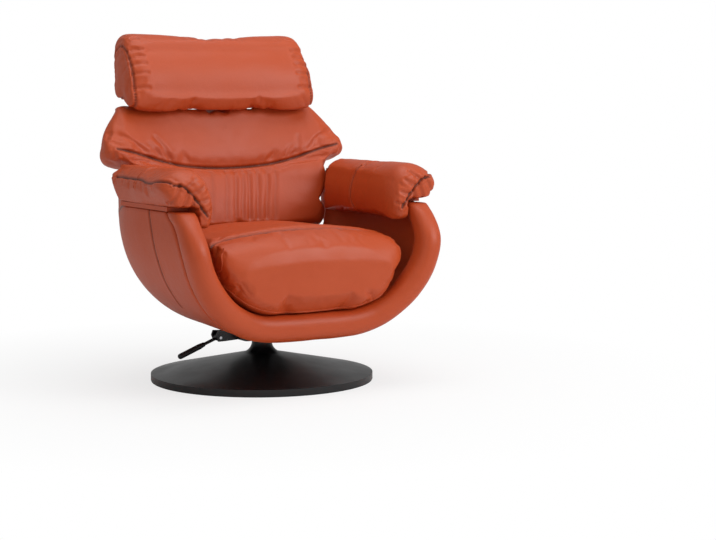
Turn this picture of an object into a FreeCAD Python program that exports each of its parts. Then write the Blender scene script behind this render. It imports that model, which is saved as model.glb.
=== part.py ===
import FreeCAD, Part
import math
import os
import Sketcher

# Swivel recliner on a round trumpet foot, in millimetres.
# The origin is on the floor on the swivel axis, +Z is up, the sitter faces -Y and +X is at the sitter's left.

DOC = FreeCAD.newDocument("swivel_recliner")
SHEET = DOC.addObject("Spreadsheet::Sheet", "Dims")
Vector = FreeCAD.Vector
NODES = []

DRIVING = [
    # foot and column
    ("base_radius", 310, "outer radius of the round foot"),
    ("floor_pad_thickness", 2, "felt pad under the foot"),
    ("floor_pad_setback", 1, "pad edge inside the foot's edge"),
    ("ballast_thickness", 9, "cast ballast plate"),
    ("foot_skin", 2, "sheet of the trumpet"),
    ("rim_top", 20, "height of the foot's edge"),
    ("cone_angle", 12, "slope of the foot, degrees"),
    ("flare_radius", 33, "fillet from the foot to its neck"),
    ("neck_radius", 28, "outside of the neck"),
    ("neck_collar", 3, "straight top of the neck"),
    ("slip_gap", 0.3, "gap between pieces that only lie side by side"),
    ("run_gap", 0.05, "radial gap of a shaft in its bush"),
    ("face_gap", 0.1, "gap between faces that slide on each other"),
    ("column_wall", 4.7, "wall of the column tube"),
    ("column_rise", 2, "column above the neck"),
    ("column_foot_radius", 70, "flange of the column"),
    ("column_foot_thickness", 6, "flange thickness"),
    ("column_bolt_circle", 50, "radius of the circle of the flange bolts"),
    ("column_bolt_radius", 4, "shank of the flange bolts"),
    ("column_bolt_count", 4, "bolts in the flange"),
    ("spindle_radius", 16, "swivel shaft"),
    ("spindle_stub_radius", 10, "thread below the swivel shaft"),
    ("spindle_stub_length", 10, "length of that thread"),
    ("bush_length", 14, "swivel bush length"),
    ("lower_bush_base", 26, "height of the lower bush"),
    ("washer_thickness", 2, "thrust washer"),
    ("flange_radius", 48, "swivel flange"),
    ("flange_thickness", 5, "swivel flange thickness"),
    ("lock_nut_radius", 19, "nut below the swivel shaft"),
    # mechanism under the tub
    ("housing_half_width", 85, "mechanism housing, half width"),
    ("housing_half_depth", 65, "mechanism housing, half depth"),
    ("housing_depth", 23, "height of the housing's walls"),
    ("housing_sheet", 3, "sheet of the housing"),
    ("housing_bolt_offset", 26, "housing bolts from the swivel axis, each way"),
    ("housing_bolt_radius", 4, "shank of the housing bolts"),
    ("tilt_axle_radius", 5, "axle the tub tilts on"),
    ("tilt_axle_lift", 11, "axle above the housing's floor"),
    ("tilt_bush_wall", 2, "wall of the tilt bushes"),
    ("tilt_lug_rim", 2.5, "metal of the lug round its bush"),
    ("tilt_lug_inner", 50, "inner face of the tilt lugs"),
    ("tilt_lug_thickness", 8, "tilt lug thickness"),
    ("tilt_plate_half_width", 60, "plate of the tilt bracket, half width"),
    ("tilt_plate_half_depth", 54, "plate of the tilt bracket, half depth"),
    ("tilt_plate_lift", 14, "underside of that plate above the tilt axle"),
    ("tilt_range", 12, "tilt of the tub, degrees"),
    ("clamp_disc_count", 4, "clamp discs on the axle"),
    ("clamp_disc_thickness", 2, "clamp disc thickness"),
    ("lever_reach", 138, "lever hub from the swivel axis"),
    ("lever_height", 127, "lever hub above the floor"),
    ("lever_hub_radius", 10, "lever hub"),
    ("lever_hub_length", 22, "lever hub length"),
    ("lever_ear_thickness", 6, "ears of the lever bracket"),
    ("lever_pin_radius", 4, "lever pin"),
    ("lever_slope", 21, "lever below level at rest, degrees"),
    ("lever_rod_radius", 4.5, "lever rod"),
    ("lever_rod_length", 62, "lever rod from the hub's axis"),
    ("lever_grip_radius", 7.75, "lever grip"),
    ("lever_grip_start", 46, "start of the grip from the hub's axis"),
    ("lever_grip_length", 85, "lever grip length"),
    # tub
    ("tub_half_width", 390, "outside of the tub, half width"),
    ("tub_plan_start", 60, "where the tub starts to narrow, ahead of the swivel axis"),
    ("tub_plan_length", 410, "from there to the rear end of the tub's plan curve"),
    ("tub_plan_power", 2.6, "squareness of that curve"),
    ("tub_front_floor", 142, "underside of the tub at the front"),
    ("tub_front", 280, "where that underside is measured, ahead of the axis"),
    ("tub_floor_slope", 0.05, "rise of the underside towards the rear"),
    ("tub_rear_rise", 0.00309, "extra rise of the rear, per mm squared"),
    ("tub_rear_start", 60, "where the extra rise starts"),
    ("tub_corner_share", 0.75, "corner radius of the tub as a share of its half width"),
    ("cover_thickness", 12, "leather and foam on the outside of the shell"),
    ("shell_thickness", 14, "moulded wooden shell"),
    ("under_cover_half_width", 112, "black cover under the tub, half width"),
    ("wall_top", 496, "top of the side walls under the arm pads"),
    ("wall_shoulder", 574, "top of the side walls behind the arm pads"),
    ("rear_opening_half_width", 322, "gap in the tub for the back, half width"),
    ("rim_reach", 308, "rim roll's centre ahead of the axis, at its furthest"),
    ("rim_reach_height", 370, "height of that furthest point"),
    ("rim_curve_above", 0.00504, "setback of the rim above it, per mm squared"),
    ("rim_curve_below", 0.00108, "setback of the rim below it, per mm squared"),
    ("rim_side_half", 31, "half thickness of the roll at the sides"),
    ("rim_base_half", 36, "half thickness of the roll at the bottom"),
    ("rim_front_depth", 34, "roll ahead of its centre"),
    ("rim_rear_depth", 31, "roll behind its centre"),
    ("rim_gap", 1.4, "gap between the roll's rear and the tub's front edge"),
    ("shoulder_rear", 182, "rear end of the shoulders' level top"),
    ("tub_rear", 326, "rear end of the tub"),
    ("tub_rear_height", 400, "height of the side walls at the rear end"),
    ("arm_board_thickness", 11.7, "board on the side walls"),
    # seat
    ("seat_half_width", 288, "seat cushion, half width"),
    ("seat_edge_height", 408, "top edge of the seat at the sides"),
    ("seat_crown", 30, "crown of the seat above its side edges"),
    ("seat_front", 322, "front of the seat's apron"),
    ("seat_rear", 116, "rear of the seat cushion"),
    ("seat_apron_base", 217, "bottom of the apron"),
    ("seat_thickness", 98, "cushion over the frame, at the side edges"),
    ("seat_apron_depth", 120, "depth of the apron from front to rear"),
    ("seat_tube", 22, "square tube of the seat frame"),
    ("seat_frame_half_width", 240, "seat frame, half width"),
    ("webbing_width", 50, "width of a webbing band"),
    ("webbing_thickness", 2.5, "thickness of a webbing band"),
    # arm pads
    ("pad_rear", 146, "rear end of the arm pads at the shoulders' top"),
    ("pad_inner_slope", 0.2, "the same on the seat's side, along the back"),
    ("pad_rear_outer", 391, "outer face of the pads at their rear ends"),
    ("pad_front", 262, "front end of the arm pads"),
    ("pad_gather", 60, "length over which the pads' front ends are gathered"),
    ("pad_end_slope", 0.9, "how far the pads' rear ends run forward per mm down"),
    ("pad_inner", 270, "inner face of the arm pads"),
    ("pad_outer", 430, "outer face of the arm pads"),
    ("pad_top", 606, "top of the arm pads"),
    ("pad_inner_base", 450, "lower edge of the pads on the seat's side"),
    # back, measured up the reclined line from the recline pin
    ("recline_pivot_back", 165, "recline pin behind the swivel axis"),
    ("recline_pivot_height", 350, "recline pin above the floor"),
    ("back_rake", 19.5, "back from upright at rest, degrees"),
    ("recline_range", 30, "recline of the back, degrees"),
    ("back_top", 428, "top of the back"),
    ("back_base", 36, "bottom of the back cushion"),
    ("back_front", 55, "front of the cushion ahead of the pin's plane"),
    ("back_plane", 12.5, "rear of the cushion behind the pin's plane"),
    ("back_rear", 58, "rear of the rear cover behind the pin's plane"),
    ("back_wing", 383, "half width across the wings"),
    ("back_waist", 299, "half width between the arms"),
    ("back_shoulder", 328, "half width at the top"),
    ("back_cover_wall", 8, "wall of the rear cover"),
    ("back_cover_setback", 46, "rear cover's sides inside the wings"),
    ("back_tube_radius", 11, "tube of the back frame"),
    ("back_tube_half_width", 200, "legs of the back frame"),
    ("recline_pin_radius", 6, "recline pin"),
    ("recline_bush_wall", 3, "wall of the recline bushes"),
    ("recline_arm_thickness", 6, "recline arms"),
    ("recline_eye_radius", 14, "eye of the recline arms"),
    # headrest
    ("head_axis_ahead", 85, "headrest hinge ahead of the pin's plane"),
    ("head_axis_up", 430, "headrest hinge above the recline pin, along the back"),
    ("head_roll_radius", 35, "lower roll of the headrest"),
    ("head_top", 637, "top of the headrest"),
    ("head_half_width", 298, "headrest, half width at its lower roll"),
    ("head_taper", 0.06, "share that the headrest narrows by up to its top"),
    ("head_arm_offset", 118, "headrest hinge arms from the middle"),
    ("head_arm_thickness", 4, "headrest hinge plates"),
    ("head_pin_radius", 4, "headrest hinge pin"),
]


def fill_sheet():
    """Write each driving dimension into the sheet under its own alias."""
    for row, (alias, value, note) in enumerate(DRIVING, start=1):
        SHEET.set("A%d" % row, alias.replace("_", " "))
        SHEET.set("B%d" % row, str(value))
        SHEET.setAlias("B%d" % row, alias)
        SHEET.set("C%d" % row, note)
    DOC.recompute()


def size(expression):
    """The value of an expression written with the sheet's aliases."""
    return float(SHEET.evalExpression(expression))


def bound(expression):
    """The same expression as other objects of the document have to write it."""
    for alias in sorted((entry[0] for entry in DRIVING), key=len, reverse=True):
        expression = replace_word(expression, alias, "Dims." + alias)
    return expression


def replace_word(text, word, new):
    """Replace whole words only."""
    pieces = []
    start = 0
    while True:
        at = text.find(word, start)
        if at < 0:
            pieces.append(text[start:])
            return "".join(pieces)
        before = text[at - 1] if at else " "
        after = text[at + len(word)] if at + len(word) < len(text) else " "
        whole = not (before.isalnum() or before in "_.") and not (after.isalnum() or after == "_")
        pieces.append(text[start:at] + (new if whole else word))
        start = at + len(word)


def keep(item):
    """Count a document object as one of the recliner's pieces."""
    NODES.append(item)
    return item


def place(item, at, axis="Z"):
    """Turn an object's own Z to the named axis and bind its position."""
    turns = {"Z": (Vector(0, 0, 1), 0), "X": (Vector(0, 1, 0), 90), "Y": (Vector(1, 0, 0), -90)}
    item.Placement.Rotation = FreeCAD.Rotation(*turns[axis])
    for letter, expression in zip("xyz", at):
        item.setExpression("Placement.Base." + letter, bound(expression))
    return item


def cylinder(label, radius, height, at=("0", "0", "0"), axis="Z"):
    """A cylinder whose radius, height and place are expressions."""
    item = DOC.addObject("Part::Cylinder", label)
    item.setExpression("Radius", bound(radius))
    item.setExpression("Height", bound(height))
    return place(item, at, axis)


def box(label, spans):
    """A box from three (low, high) pairs of expressions."""
    item = DOC.addObject("Part::Box", label)
    for name, (low, high) in zip(("Length", "Width", "Height"), spans):
        item.setExpression(name, bound("(%s) - (%s)" % (high, low)))
    return place(item, [low for low, high in spans])


def cut(label, base, tool):
    """One object less another."""
    item = DOC.addObject("Part::Cut", label)
    item.Base = base
    item.Tool = tool
    return item


def fuse(label, parts):
    """Several objects joined to one solid."""
    item = DOC.addObject("Part::MultiFuse", label)
    item.Shapes = parts
    return item


def common(label, parts):
    """What several objects share."""
    item = DOC.addObject("Part::MultiCommon", label)
    item.Shapes = parts
    return item


def group(label, parts):
    """Like pieces kept together as separate solids."""
    item = DOC.addObject("Part::Compound", label)
    item.Links = parts
    return item


def solid(label, shape, placement=None):
    """An object that holds a shape made by curve and loft functions."""
    item = DOC.addObject("Part::Feature", label)
    item.Shape = shape
    if placement is not None:
        item.Placement = placement
    return item


def turned(label, profile):
    """A body revolved about Z from (radius, height, bulge) vertices.

    A vertex with a bulge starts an arc of that radius: positive swings to the left of the run, negative to its right.
    """
    body = DOC.addObject("PartDesign::Body", label)
    sketch = body.newObject("Sketcher::SketchObject", label + "_profile")
    plane = [item for item in body.Origin.OriginFeatures if item.Role == "XZ_Plane"][0]
    sketch.AttachmentSupport = [(plane, "")]
    sketch.MapMode = "FlatFace"
    spots = [Vector(size(entry[0]), size(entry[1]), 0) for entry in profile]
    for index, entry in enumerate(profile):
        start = spots[index]
        end = spots[(index + 1) % len(spots)]
        if len(entry) == 3:
            sketch.addGeometry(bulged(start, end, size(entry[2])), False)
        else:
            sketch.addGeometry(Part.LineSegment(start, end), False)
    ends = [arc_ends(sketch.Geometry[index], spots[index]) for index in range(len(profile))]
    for index in range(len(profile)):
        after = (index + 1) % len(profile)
        sketch.addConstraint(Sketcher.Constraint("Coincident", index, ends[index][1], after, ends[after][0]))
    for index, entry in enumerate(profile):
        pin_vertex(sketch, index, ends[index][0], entry, spots[index])
    turn = body.newObject("PartDesign::Revolution", label + "_turn")
    turn.Profile = sketch
    turn.ReferenceAxis = (sketch, ["V_Axis"])
    turn.Angle = 360
    body.Tip = turn
    return body


def bulged(start, end, radius):
    """The arc of a signed radius between two points, always drawn anticlockwise."""
    chord = end - start
    half = chord.Length / 2
    across = Vector(-chord.y, chord.x, 0).normalize()
    depth = abs(radius) - math.sqrt(max(radius * radius - half * half, 0))
    side = 1 if radius > 0 else -1
    middle = (start + end) * 0.5 + across * (side * depth)
    if radius > 0:
        return Part.Arc(end, middle, start)
    return Part.Arc(start, middle, end)


def arc_ends(curve, start):
    """Which end of a sketch curve (1 or 2) is its start here, and which its end."""
    near = (curve.StartPoint - start).Length < (curve.EndPoint - start).Length
    return (1, 2) if near else (2, 1)


def pin_vertex(sketch, index, end, entry, spot):
    """Bind a vertex to the expressions of its radius and height."""
    for kind, expression, value, axis in (("DistanceX", entry[0], spot.x, -2), ("DistanceY", entry[1], spot.y, -1)):
        if abs(value) < 1e-9:
            sketch.addConstraint(Sketcher.Constraint("PointOnObject", index, end, axis))
            continue
        number = sketch.addConstraint(Sketcher.Constraint(kind, -1, 1, index, end, value))
        sketch.setExpression("Constraints[%d]" % number, bound(expression))
    if len(entry) == 3:
        number = sketch.addConstraint(Sketcher.Constraint("Radius", index, abs(size(entry[2]))))
        sketch.setExpression("Constraints[%d]" % number, bound("abs(%s)" % entry[2]))


def arc_loop(points, flat):
    """A closed wire of arcs through corner, via, corner, via, ... given in a plane.

    flat turns a plane point into a point in space.
    """
    spots = [flat(*point) for point in points]
    edges = []
    for index in range(0, len(spots), 2):
        end = spots[(index + 2) % len(spots)]
        edges.append(Part.Arc(spots[index], spots[index + 1], end).toShape())
    return Part.Wire(edges)


def loft(wires):
    """A smooth solid through closed wires."""
    ruled = False
    closed = False
    degree = 3
    return Part.makeLoft(wires, True, ruled, closed, degree)


def prism(points, low, high):
    """A slab between X = low and X = high with an outline of straight runs in the YZ plane."""
    spots = [Vector(low, y, z) for y, z in points]
    wire = Part.makePolygon(spots + [spots[0]])
    return Part.Face(wire).extrude(Vector(high - low, 0, 0))


def mirrored(shape):
    """The same piece on the other side of the chair."""
    return shape.mirror(Vector(0, 0, 0), Vector(1, 0, 0))


# Heights and places worked out from the driving dimensions

BALLAST_TOP = "floor_pad_thickness + ballast_thickness"
NECK_TURN = ("rim_top + (base_radius - neck_radius - flare_radius * (1 - sin(cone_angle))) * tan(cone_angle)"
             " + flare_radius * cos(cone_angle)")
NECK_TOP = NECK_TURN + " + neck_collar"
COLUMN_RADIUS = "neck_radius - foot_skin - slip_gap"
COLUMN_BORE = "neck_radius - foot_skin - slip_gap - column_wall"
COLUMN_TOP = NECK_TOP + " + column_rise"
FLANGE_BASE = COLUMN_TOP + " + washer_thickness + face_gap"
HOUSING_BASE = FLANGE_BASE + " + flange_thickness"
HOUSING_FLOOR = HOUSING_BASE + " + housing_sheet"
HOUSING_TOP = HOUSING_BASE + " + housing_depth"
TILT_HEIGHT = HOUSING_FLOOR + " + tilt_axle_lift"


def floor_pad():
    """Felt disc that the foot stands on."""
    keep(cylinder("floor_pad", "base_radius - floor_pad_setback", "floor_pad_thickness"))


def base_ballast():
    """Cast plate inside the foot, with holes for the column's bolts."""
    plate = cylinder("ballast_plate", "base_radius - foot_skin - slip_gap", "ballast_thickness",
                     ("0", "0", "floor_pad_thickness"))
    holes = bolt_ring("ballast_hole", "column_bolt_radius + slip_gap / 2", "floor_pad_thickness", BALLAST_TOP)
    keep(cut("base_ballast", plate, group("ballast_holes", holes)))


def bolt_ring(label, radius, low, high):
    """Cylinders on the circle of the column's bolts."""
    rods = []
    count = int(size("column_bolt_count"))
    for index in range(count):
        angle = "%d * 360 / column_bolt_count + 45" % index
        at = ("column_bolt_circle * cos(%s)" % angle, "column_bolt_circle * sin(%s)" % angle, low)
        rods.append(cylinder("%s_%d" % (label, index), radius, "(%s) - (%s)" % (high, low), at))
    return rods


def base_trumpet():
    """Spun skin of the foot: edge, shallow cone, fillet and neck."""
    flare_reach = "neck_radius + flare_radius * (1 - sin(cone_angle))"
    flare_height = NECK_TURN + " - flare_radius * cos(cone_angle)"
    inner_reach = "neck_radius + flare_radius - (flare_radius + foot_skin) * sin(cone_angle)"
    inner_height = NECK_TURN + " - (flare_radius + foot_skin) * cos(cone_angle)"
    skin_drop = "foot_skin / cos(cone_angle) - foot_skin * tan(cone_angle)"
    keep(turned("base_trumpet", [
        ("base_radius", "floor_pad_thickness"),
        ("base_radius", "rim_top"),
        (flare_reach, flare_height, "flare_radius"),
        ("neck_radius", NECK_TURN),
        ("neck_radius", NECK_TOP),
        ("neck_radius - foot_skin", NECK_TOP),
        ("neck_radius - foot_skin", NECK_TURN, "0 - flare_radius - foot_skin"),
        (inner_reach, inner_height),
        ("base_radius - foot_skin", "rim_top - (%s)" % skin_drop),
        ("base_radius - foot_skin", "floor_pad_thickness"),
    ]))


def column_tube():
    """Steel tube with a bolted flange, inside the foot's neck."""
    flange_top = BALLAST_TOP + " + column_foot_thickness"
    blank = turned("column_blank", [
        (COLUMN_BORE, BALLAST_TOP),
        ("column_foot_radius", BALLAST_TOP),
        ("column_foot_radius", flange_top),
        (COLUMN_RADIUS, flange_top),
        (COLUMN_RADIUS, COLUMN_TOP),
        (COLUMN_BORE, COLUMN_TOP),
    ])
    holes = bolt_ring("flange_hole", "column_bolt_radius + slip_gap / 2", BALLAST_TOP, flange_top)
    keep(cut("column_tube", blank, group("flange_holes", holes)))


def column_bolts():
    """Bolts from the flange down into the ballast."""
    flange_top = BALLAST_TOP + " + column_foot_thickness"
    shanks = bolt_ring("column_shank", "column_bolt_radius", "floor_pad_thickness + slip_gap", flange_top)
    heads = bolt_ring("column_head", "column_bolt_radius * 1.6", flange_top, flange_top + " + column_bolt_radius")
    bolts = [fuse("column_bolt_%d" % index, list(pair)) for index, pair in enumerate(zip(shanks, heads))]
    keep(group("column_bolts", bolts))


def swivel_bush(label, base):
    """Plain bush between the column and the swivel spindle."""
    keep(turned(label, [
        ("spindle_radius + run_gap", base),
        (COLUMN_BORE + " - face_gap", base),
        (COLUMN_BORE + " - face_gap", base + " + bush_length"),
        ("spindle_radius + run_gap", base + " + bush_length"),
    ]))


def thrust_washer():
    """Washer on top of the column, which carries the swivel flange."""
    keep(turned("thrust_washer", [
        ("spindle_radius + slip_gap", COLUMN_TOP),
        (COLUMN_RADIUS, COLUMN_TOP),
        (COLUMN_RADIUS, COLUMN_TOP + " + washer_thickness"),
        ("spindle_radius + slip_gap", COLUMN_TOP + " + washer_thickness"),
    ]))


def swivel_spindle():
    """Swivel shaft with its flange and the thread below it."""
    shaft_base = "lower_bush_base - slip_gap"
    keep(turned("swivel_spindle", [
        ("0", shaft_base + " - spindle_stub_length"),
        ("spindle_stub_radius", shaft_base + " - spindle_stub_length"),
        ("spindle_stub_radius", shaft_base),
        ("spindle_radius", shaft_base),
        ("spindle_radius", FLANGE_BASE),
        ("flange_radius", FLANGE_BASE),
        ("flange_radius", HOUSING_BASE),
        ("0", HOUSING_BASE),
    ]))


def spindle_lock_nut():
    """Nut that keeps the spindle from lifting out of the lower bush."""
    nut_top = "lower_bush_base - slip_gap"
    keep(turned("spindle_lock_nut", [
        ("spindle_stub_radius + face_gap", nut_top + " - spindle_stub_length + 1"),
        ("lock_nut_radius", nut_top + " - spindle_stub_length + 1"),
        ("lock_nut_radius", nut_top),
        ("spindle_radius + slip_gap", nut_top),
        ("spindle_radius + slip_gap", nut_top + " - slip_gap"),
        ("spindle_stub_radius + face_gap", nut_top + " - slip_gap"),
    ]))


def mechanism_housing():
    """Pressed pan under the tub, open at the top, that carries the tilt axle."""
    width = "housing_half_width"
    depth = "housing_half_depth"
    outer = box("housing_outer", [("0 - " + width, width), ("0 - " + depth, depth), (HOUSING_BASE, HOUSING_TOP)])
    inner = box("housing_inner", [("housing_sheet - " + width, width + " - housing_sheet"),
                                  ("housing_sheet - " + depth, depth + " - housing_sheet"),
                                  (HOUSING_FLOOR, HOUSING_TOP + " + 1")])
    rounded = DOC.addObject("Part::Fillet", "housing_rounded")
    rounded.Base = outer
    DOC.recompute()
    corner = size("housing_sheet") * 3
    edges = []
    for number, edge in enumerate(outer.Shape.Edges, start=1):
        if abs(edge.tangentAt(edge.FirstParameter).z) > 0.9:
            edges.append((number, corner, corner))
    rounded.Edges = edges
    hole = cylinder("housing_axle_hole", "tilt_axle_radius + face_gap", "housing_half_width * 2 + 2",
                    ("0 - housing_half_width - 1", "0", TILT_HEIGHT), "X")
    bolts = housing_bolt_rods("housing_bolt_hole", "housing_bolt_radius + slip_gap / 2", HOUSING_BASE, HOUSING_FLOOR)
    keep(cut("mechanism_housing", rounded, fuse("housing_cuts", [inner, hole] + bolts)))


def housing_bolt_rods(label, radius, low, high):
    """Cylinders at the housing's four bolts."""
    rods = []
    for index, (across, along) in enumerate(((-1, -1), (1, -1), (1, 1), (-1, 1))):
        at = ("%d * housing_bolt_offset" % across, "%d * housing_bolt_offset" % along, low)
        rods.append(cylinder("%s_%d" % (label, index), radius, "(%s) - (%s)" % (high, low), at))
    return rods


def housing_bolts():
    """Bolts that hold the housing on the swivel flange, with their heads inside."""
    heads = housing_bolt_rods("housing_head", "housing_bolt_radius * 1.5", HOUSING_FLOOR,
                              HOUSING_FLOOR + " + housing_bolt_radius * 0.8")
    shanks = housing_bolt_rods("housing_shank", "housing_bolt_radius", HOUSING_BASE + " + slip_gap / 2", HOUSING_FLOOR)
    bolts = [fuse("housing_bolt_%d" % index, list(pair)) for index, pair in enumerate(zip(heads, shanks))]
    keep(group("housing_bolts", bolts))


def tilt_axle():
    """Axle across the housing that the tub tilts on."""
    keep(cylinder("tilt_axle", "tilt_axle_radius", "housing_half_width * 2",
                  ("0 - housing_half_width", "0", TILT_HEIGHT), "X"))


def clamp_discs():
    """Discs on the axle that the lever frees and that hold the tilt."""
    discs = []
    for index in range(int(size("clamp_disc_count"))):
        start = "0 - housing_half_width + housing_sheet + 2 + %d * clamp_disc_thickness * 2" % index
        at = (start, "0", TILT_HEIGHT)
        disc = cylinder("clamp_disc_%d_blank" % index, "tilt_axle_radius * 1.8", "clamp_disc_thickness", at, "X")
        bore = cylinder("clamp_disc_%d_bore" % index, "tilt_axle_radius + run_gap", "clamp_disc_thickness", at, "X")
        discs.append(cut("clamp_disc_%d" % index, disc, bore))
    keep(group("clamp_discs", discs))


def stop_buffers():
    """Rubber blocks on the housing's floor that stop the tilt at both ends."""
    blocks = []
    half = "housing_bolt_offset * 1.6"
    front_top = TILT_HEIGHT + " + tilt_plate_lift - slip_gap"
    rear_drop = "tilt_plate_half_depth * sin(tilt_range) - tilt_plate_lift * cos(tilt_range)"
    rear_top = TILT_HEIGHT + " - (%s) - 1" % rear_drop
    for name, low, high, top in (("front", "0 - tilt_plate_half_depth", "12 - tilt_plate_half_depth", front_top),
                                 ("rear", "tilt_plate_half_depth - 10", "tilt_plate_half_depth + 2", rear_top)):
        blocks.append(box("stop_buffer_" + name, [("0 - " + half, half), (low, high), (HOUSING_FLOOR, top)]))
    keep(group("stop_buffers", blocks))


def lever_bracket():
    """Wedge on the housing's side, forked round the lever's hub."""
    hub_x = -size("lever_reach")
    hub_z = size("lever_height")
    inner = -size("housing_half_width") - size("slip_gap")
    reach = size("lever_hub_radius") + 3
    half = size("lever_hub_length") / 2 + size("slip_gap") + size("lever_ear_thickness")
    top = size(HOUSING_TOP)
    outline = [
        (inner, size(HOUSING_BASE)),
        (inner, top),
        (hub_x - reach * 0.6, top + 4),
        (hub_x - reach, hub_z + 6),
        (hub_x - reach * 0.5, hub_z - reach * 0.8),
        (hub_x + reach, size(HOUSING_BASE) - 2),
    ]
    spots = [Vector(x, -half, z) for x, z in outline]
    block = Part.Face(Part.makePolygon(spots + [spots[0]])).extrude(Vector(0, 2 * half, 0))
    slot_half = half - size("lever_ear_thickness")
    slot_start = hub_x - 2 * reach
    slot = Part.makeBox(3 * reach + 2, 2 * slot_half, 6 * reach, Vector(slot_start, -slot_half, hub_z - 3 * reach))
    pin_radius = size("lever_pin_radius") + size("face_gap")
    hole = Part.makeCylinder(pin_radius, 2 * half + 2, Vector(hub_x, -half - 1, hub_z), Vector(0, 1, 0))
    keep(solid("lever_bracket", block.cut(slot).cut(hole)))


def lever_pin():
    """Pin through the bracket's ears and the lever's hub."""
    half = "lever_hub_length / 2 + slip_gap + lever_ear_thickness + 1"
    keep(cylinder("lever_pin", "lever_pin_radius", "2 * (%s)" % half,
                  ("0 - lever_reach", "0 - (%s)" % half, "lever_height"), "Y"))


def lever_hub():
    """Hub of the lever, bored for its pin."""
    at = ("0 - lever_reach", "0 - lever_hub_length / 2", "lever_height")
    blank = cylinder("lever_hub_blank", "lever_hub_radius", "lever_hub_length", at, "Y")
    bore = cylinder("lever_hub_bore", "lever_pin_radius + run_gap", "lever_hub_length", at, "Y")
    keep(cut("lever_hub", blank, bore))


def lever_placement():
    """The lever's own frame: Z runs out along the lever from the hub's axis."""
    slope = size("lever_slope")
    turn = FreeCAD.Rotation(Vector(0, 1, 0), -90 - slope)
    return FreeCAD.Placement(Vector(-size("lever_reach"), 0, size("lever_height")), turn)


def lever_rod():
    """Round rod from the hub into the grip."""
    start = size("lever_hub_radius") + size("face_gap")
    rod = Part.makeCylinder(size("lever_rod_radius"), size("lever_rod_length") - start, Vector(0, 0, start))
    keep(solid("lever_rod", rod, lever_placement()))


def lever_grip():
    """Tapered grip with a domed end, bored for the rod."""
    start = size("lever_grip_start")
    end = start + size("lever_grip_length")
    radius = size("lever_grip_radius")
    neck = size("lever_rod_radius") + 1.5
    bore = size("lever_rod_radius") + size("face_gap")
    bore_end = size("lever_rod_length") + size("face_gap")
    points = [(bore, start), (neck, start), (radius, start + 2.5 * neck), (radius, end - radius)]
    edges = [Part.LineSegment(Vector(a[0], 0, a[1]), Vector(b[0], 0, b[1])).toShape() for a, b in zip(points, points[1:])]
    dome_mid = Vector(radius * math.sin(math.pi / 4), 0, end - radius + radius * math.cos(math.pi / 4))
    edges.append(Part.Arc(Vector(radius, 0, end - radius), dome_mid, Vector(0, 0, end)).toShape())
    closing = [(0, end), (0, bore_end), (bore, bore_end), (bore, start)]
    edges += [Part.LineSegment(Vector(a[0], 0, a[1]), Vector(b[0], 0, b[1])).toShape() for a, b in zip(closing, closing[1:])]
    profile = Part.Face(Part.Wire(edges))
    grip = profile.revolve(Vector(0, 0, 0), Vector(0, 0, 1), 360)
    keep(solid("lever_grip", grip, lever_placement()))


# The tub is a bowl drawn through U-shaped sections across the chair

def tub_half_width(y):
    """Half width of the tub at a distance behind the swivel axis: straight, then a squarish curve."""
    share = (y + size("tub_plan_start")) / size("tub_plan_length")
    if share <= 0:
        return size("tub_half_width")
    power = size("tub_plan_power")
    share = min(share, 0.985)
    return size("tub_half_width") * (1 - share ** power) ** (1 / power)


def tub_floor(y):
    """Height of the tub's underside."""
    rise = max(0, y - size("tub_rear_start"))
    return size("tub_front_floor") + size("tub_floor_slope") * (y + size("tub_front")) + size("tub_rear_rise") * rise ** 2


def tub_section(y, inset):
    """U-shaped outline across the chair, closed above the tub, drawn in by inset."""
    ramp = min(1, max(0, (y - size("tub_rear_start")) / 100))
    reach = y + inset * ramp
    outer = tub_half_width(reach)
    half = outer - inset
    base = tub_floor(reach) + inset
    corner = outer * size("tub_corner_share") - inset
    top = size("pad_top") + 60 + inset
    slant = corner * (1 - math.sqrt(0.5))
    left = [Vector(-half, y, top), Vector(-half, y, base + corner), Vector(-half + slant, y, base + slant),
            Vector(-half + corner, y, base)]
    right = [Vector(-spot.x, spot.y, spot.z) for spot in left]
    return Part.Wire([
        Part.LineSegment(left[0], left[1]).toShape(),
        Part.Arc(left[1], left[2], left[3]).toShape(),
        Part.LineSegment(left[3], right[3]).toShape(),
        Part.Arc(right[3], right[2], right[1]).toShape(),
        Part.LineSegment(right[1], right[0]).toShape(),
        Part.LineSegment(right[0], left[0]).toShape(),
    ])


def tub_volume(inset):
    """The filled bowl, drawn in by inset, and a little longer at both ends than the tub."""
    front = -size("rim_reach") - 50
    rear = size("tub_plan_length") * 0.97 - size("tub_plan_start")
    count = 15
    return loft([tub_section(front + (rear - front) * index / count, inset) for index in range(count + 1)])


def rim_centre(z):
    """Y of the rim roll's centre at a height."""
    away = z - size("rim_reach_height")
    curve = size("rim_curve_above") if away > 0 else size("rim_curve_below")
    return -(size("rim_reach") - curve * away * away)


def pad_end(z, slope="pad_end_slope"):
    """Y of the slanted joint between an arm pad's rear end and the tub's shoulder, or the back."""
    drop = size("wall_shoulder") - z
    if drop < 0:
        slope = "pad_inner_slope"
    return size("pad_rear") - drop * size(slope)


def side_outline(lift=0):
    """Outline of the tub's walls seen from the side: the arm line, the shoulder and the rear slope."""
    top = size("wall_top") + lift
    shoulder = size("wall_shoulder") + lift
    front = -size("rim_reach") - 25
    rear = size("tub_rear")
    spots = [(front, 0), (front, top), (pad_end(top), top), (pad_end(shoulder), shoulder),
             (size("shoulder_rear"), shoulder), (rear, size("tub_rear_height") + lift), (rear, 0)]
    vectors = [Vector(0, y, z) for y, z in spots]
    return Part.makePolygon(vectors + [vectors[0]])


def side_slab(lift=0):
    """The side outline drawn across the whole chair."""
    reach = size("tub_half_width") + 60
    slab = Part.Face(side_outline(lift)).extrude(Vector(2 * reach, 0, 0))
    slab.translate(Vector(-reach, 0, 0))
    return slab


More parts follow.
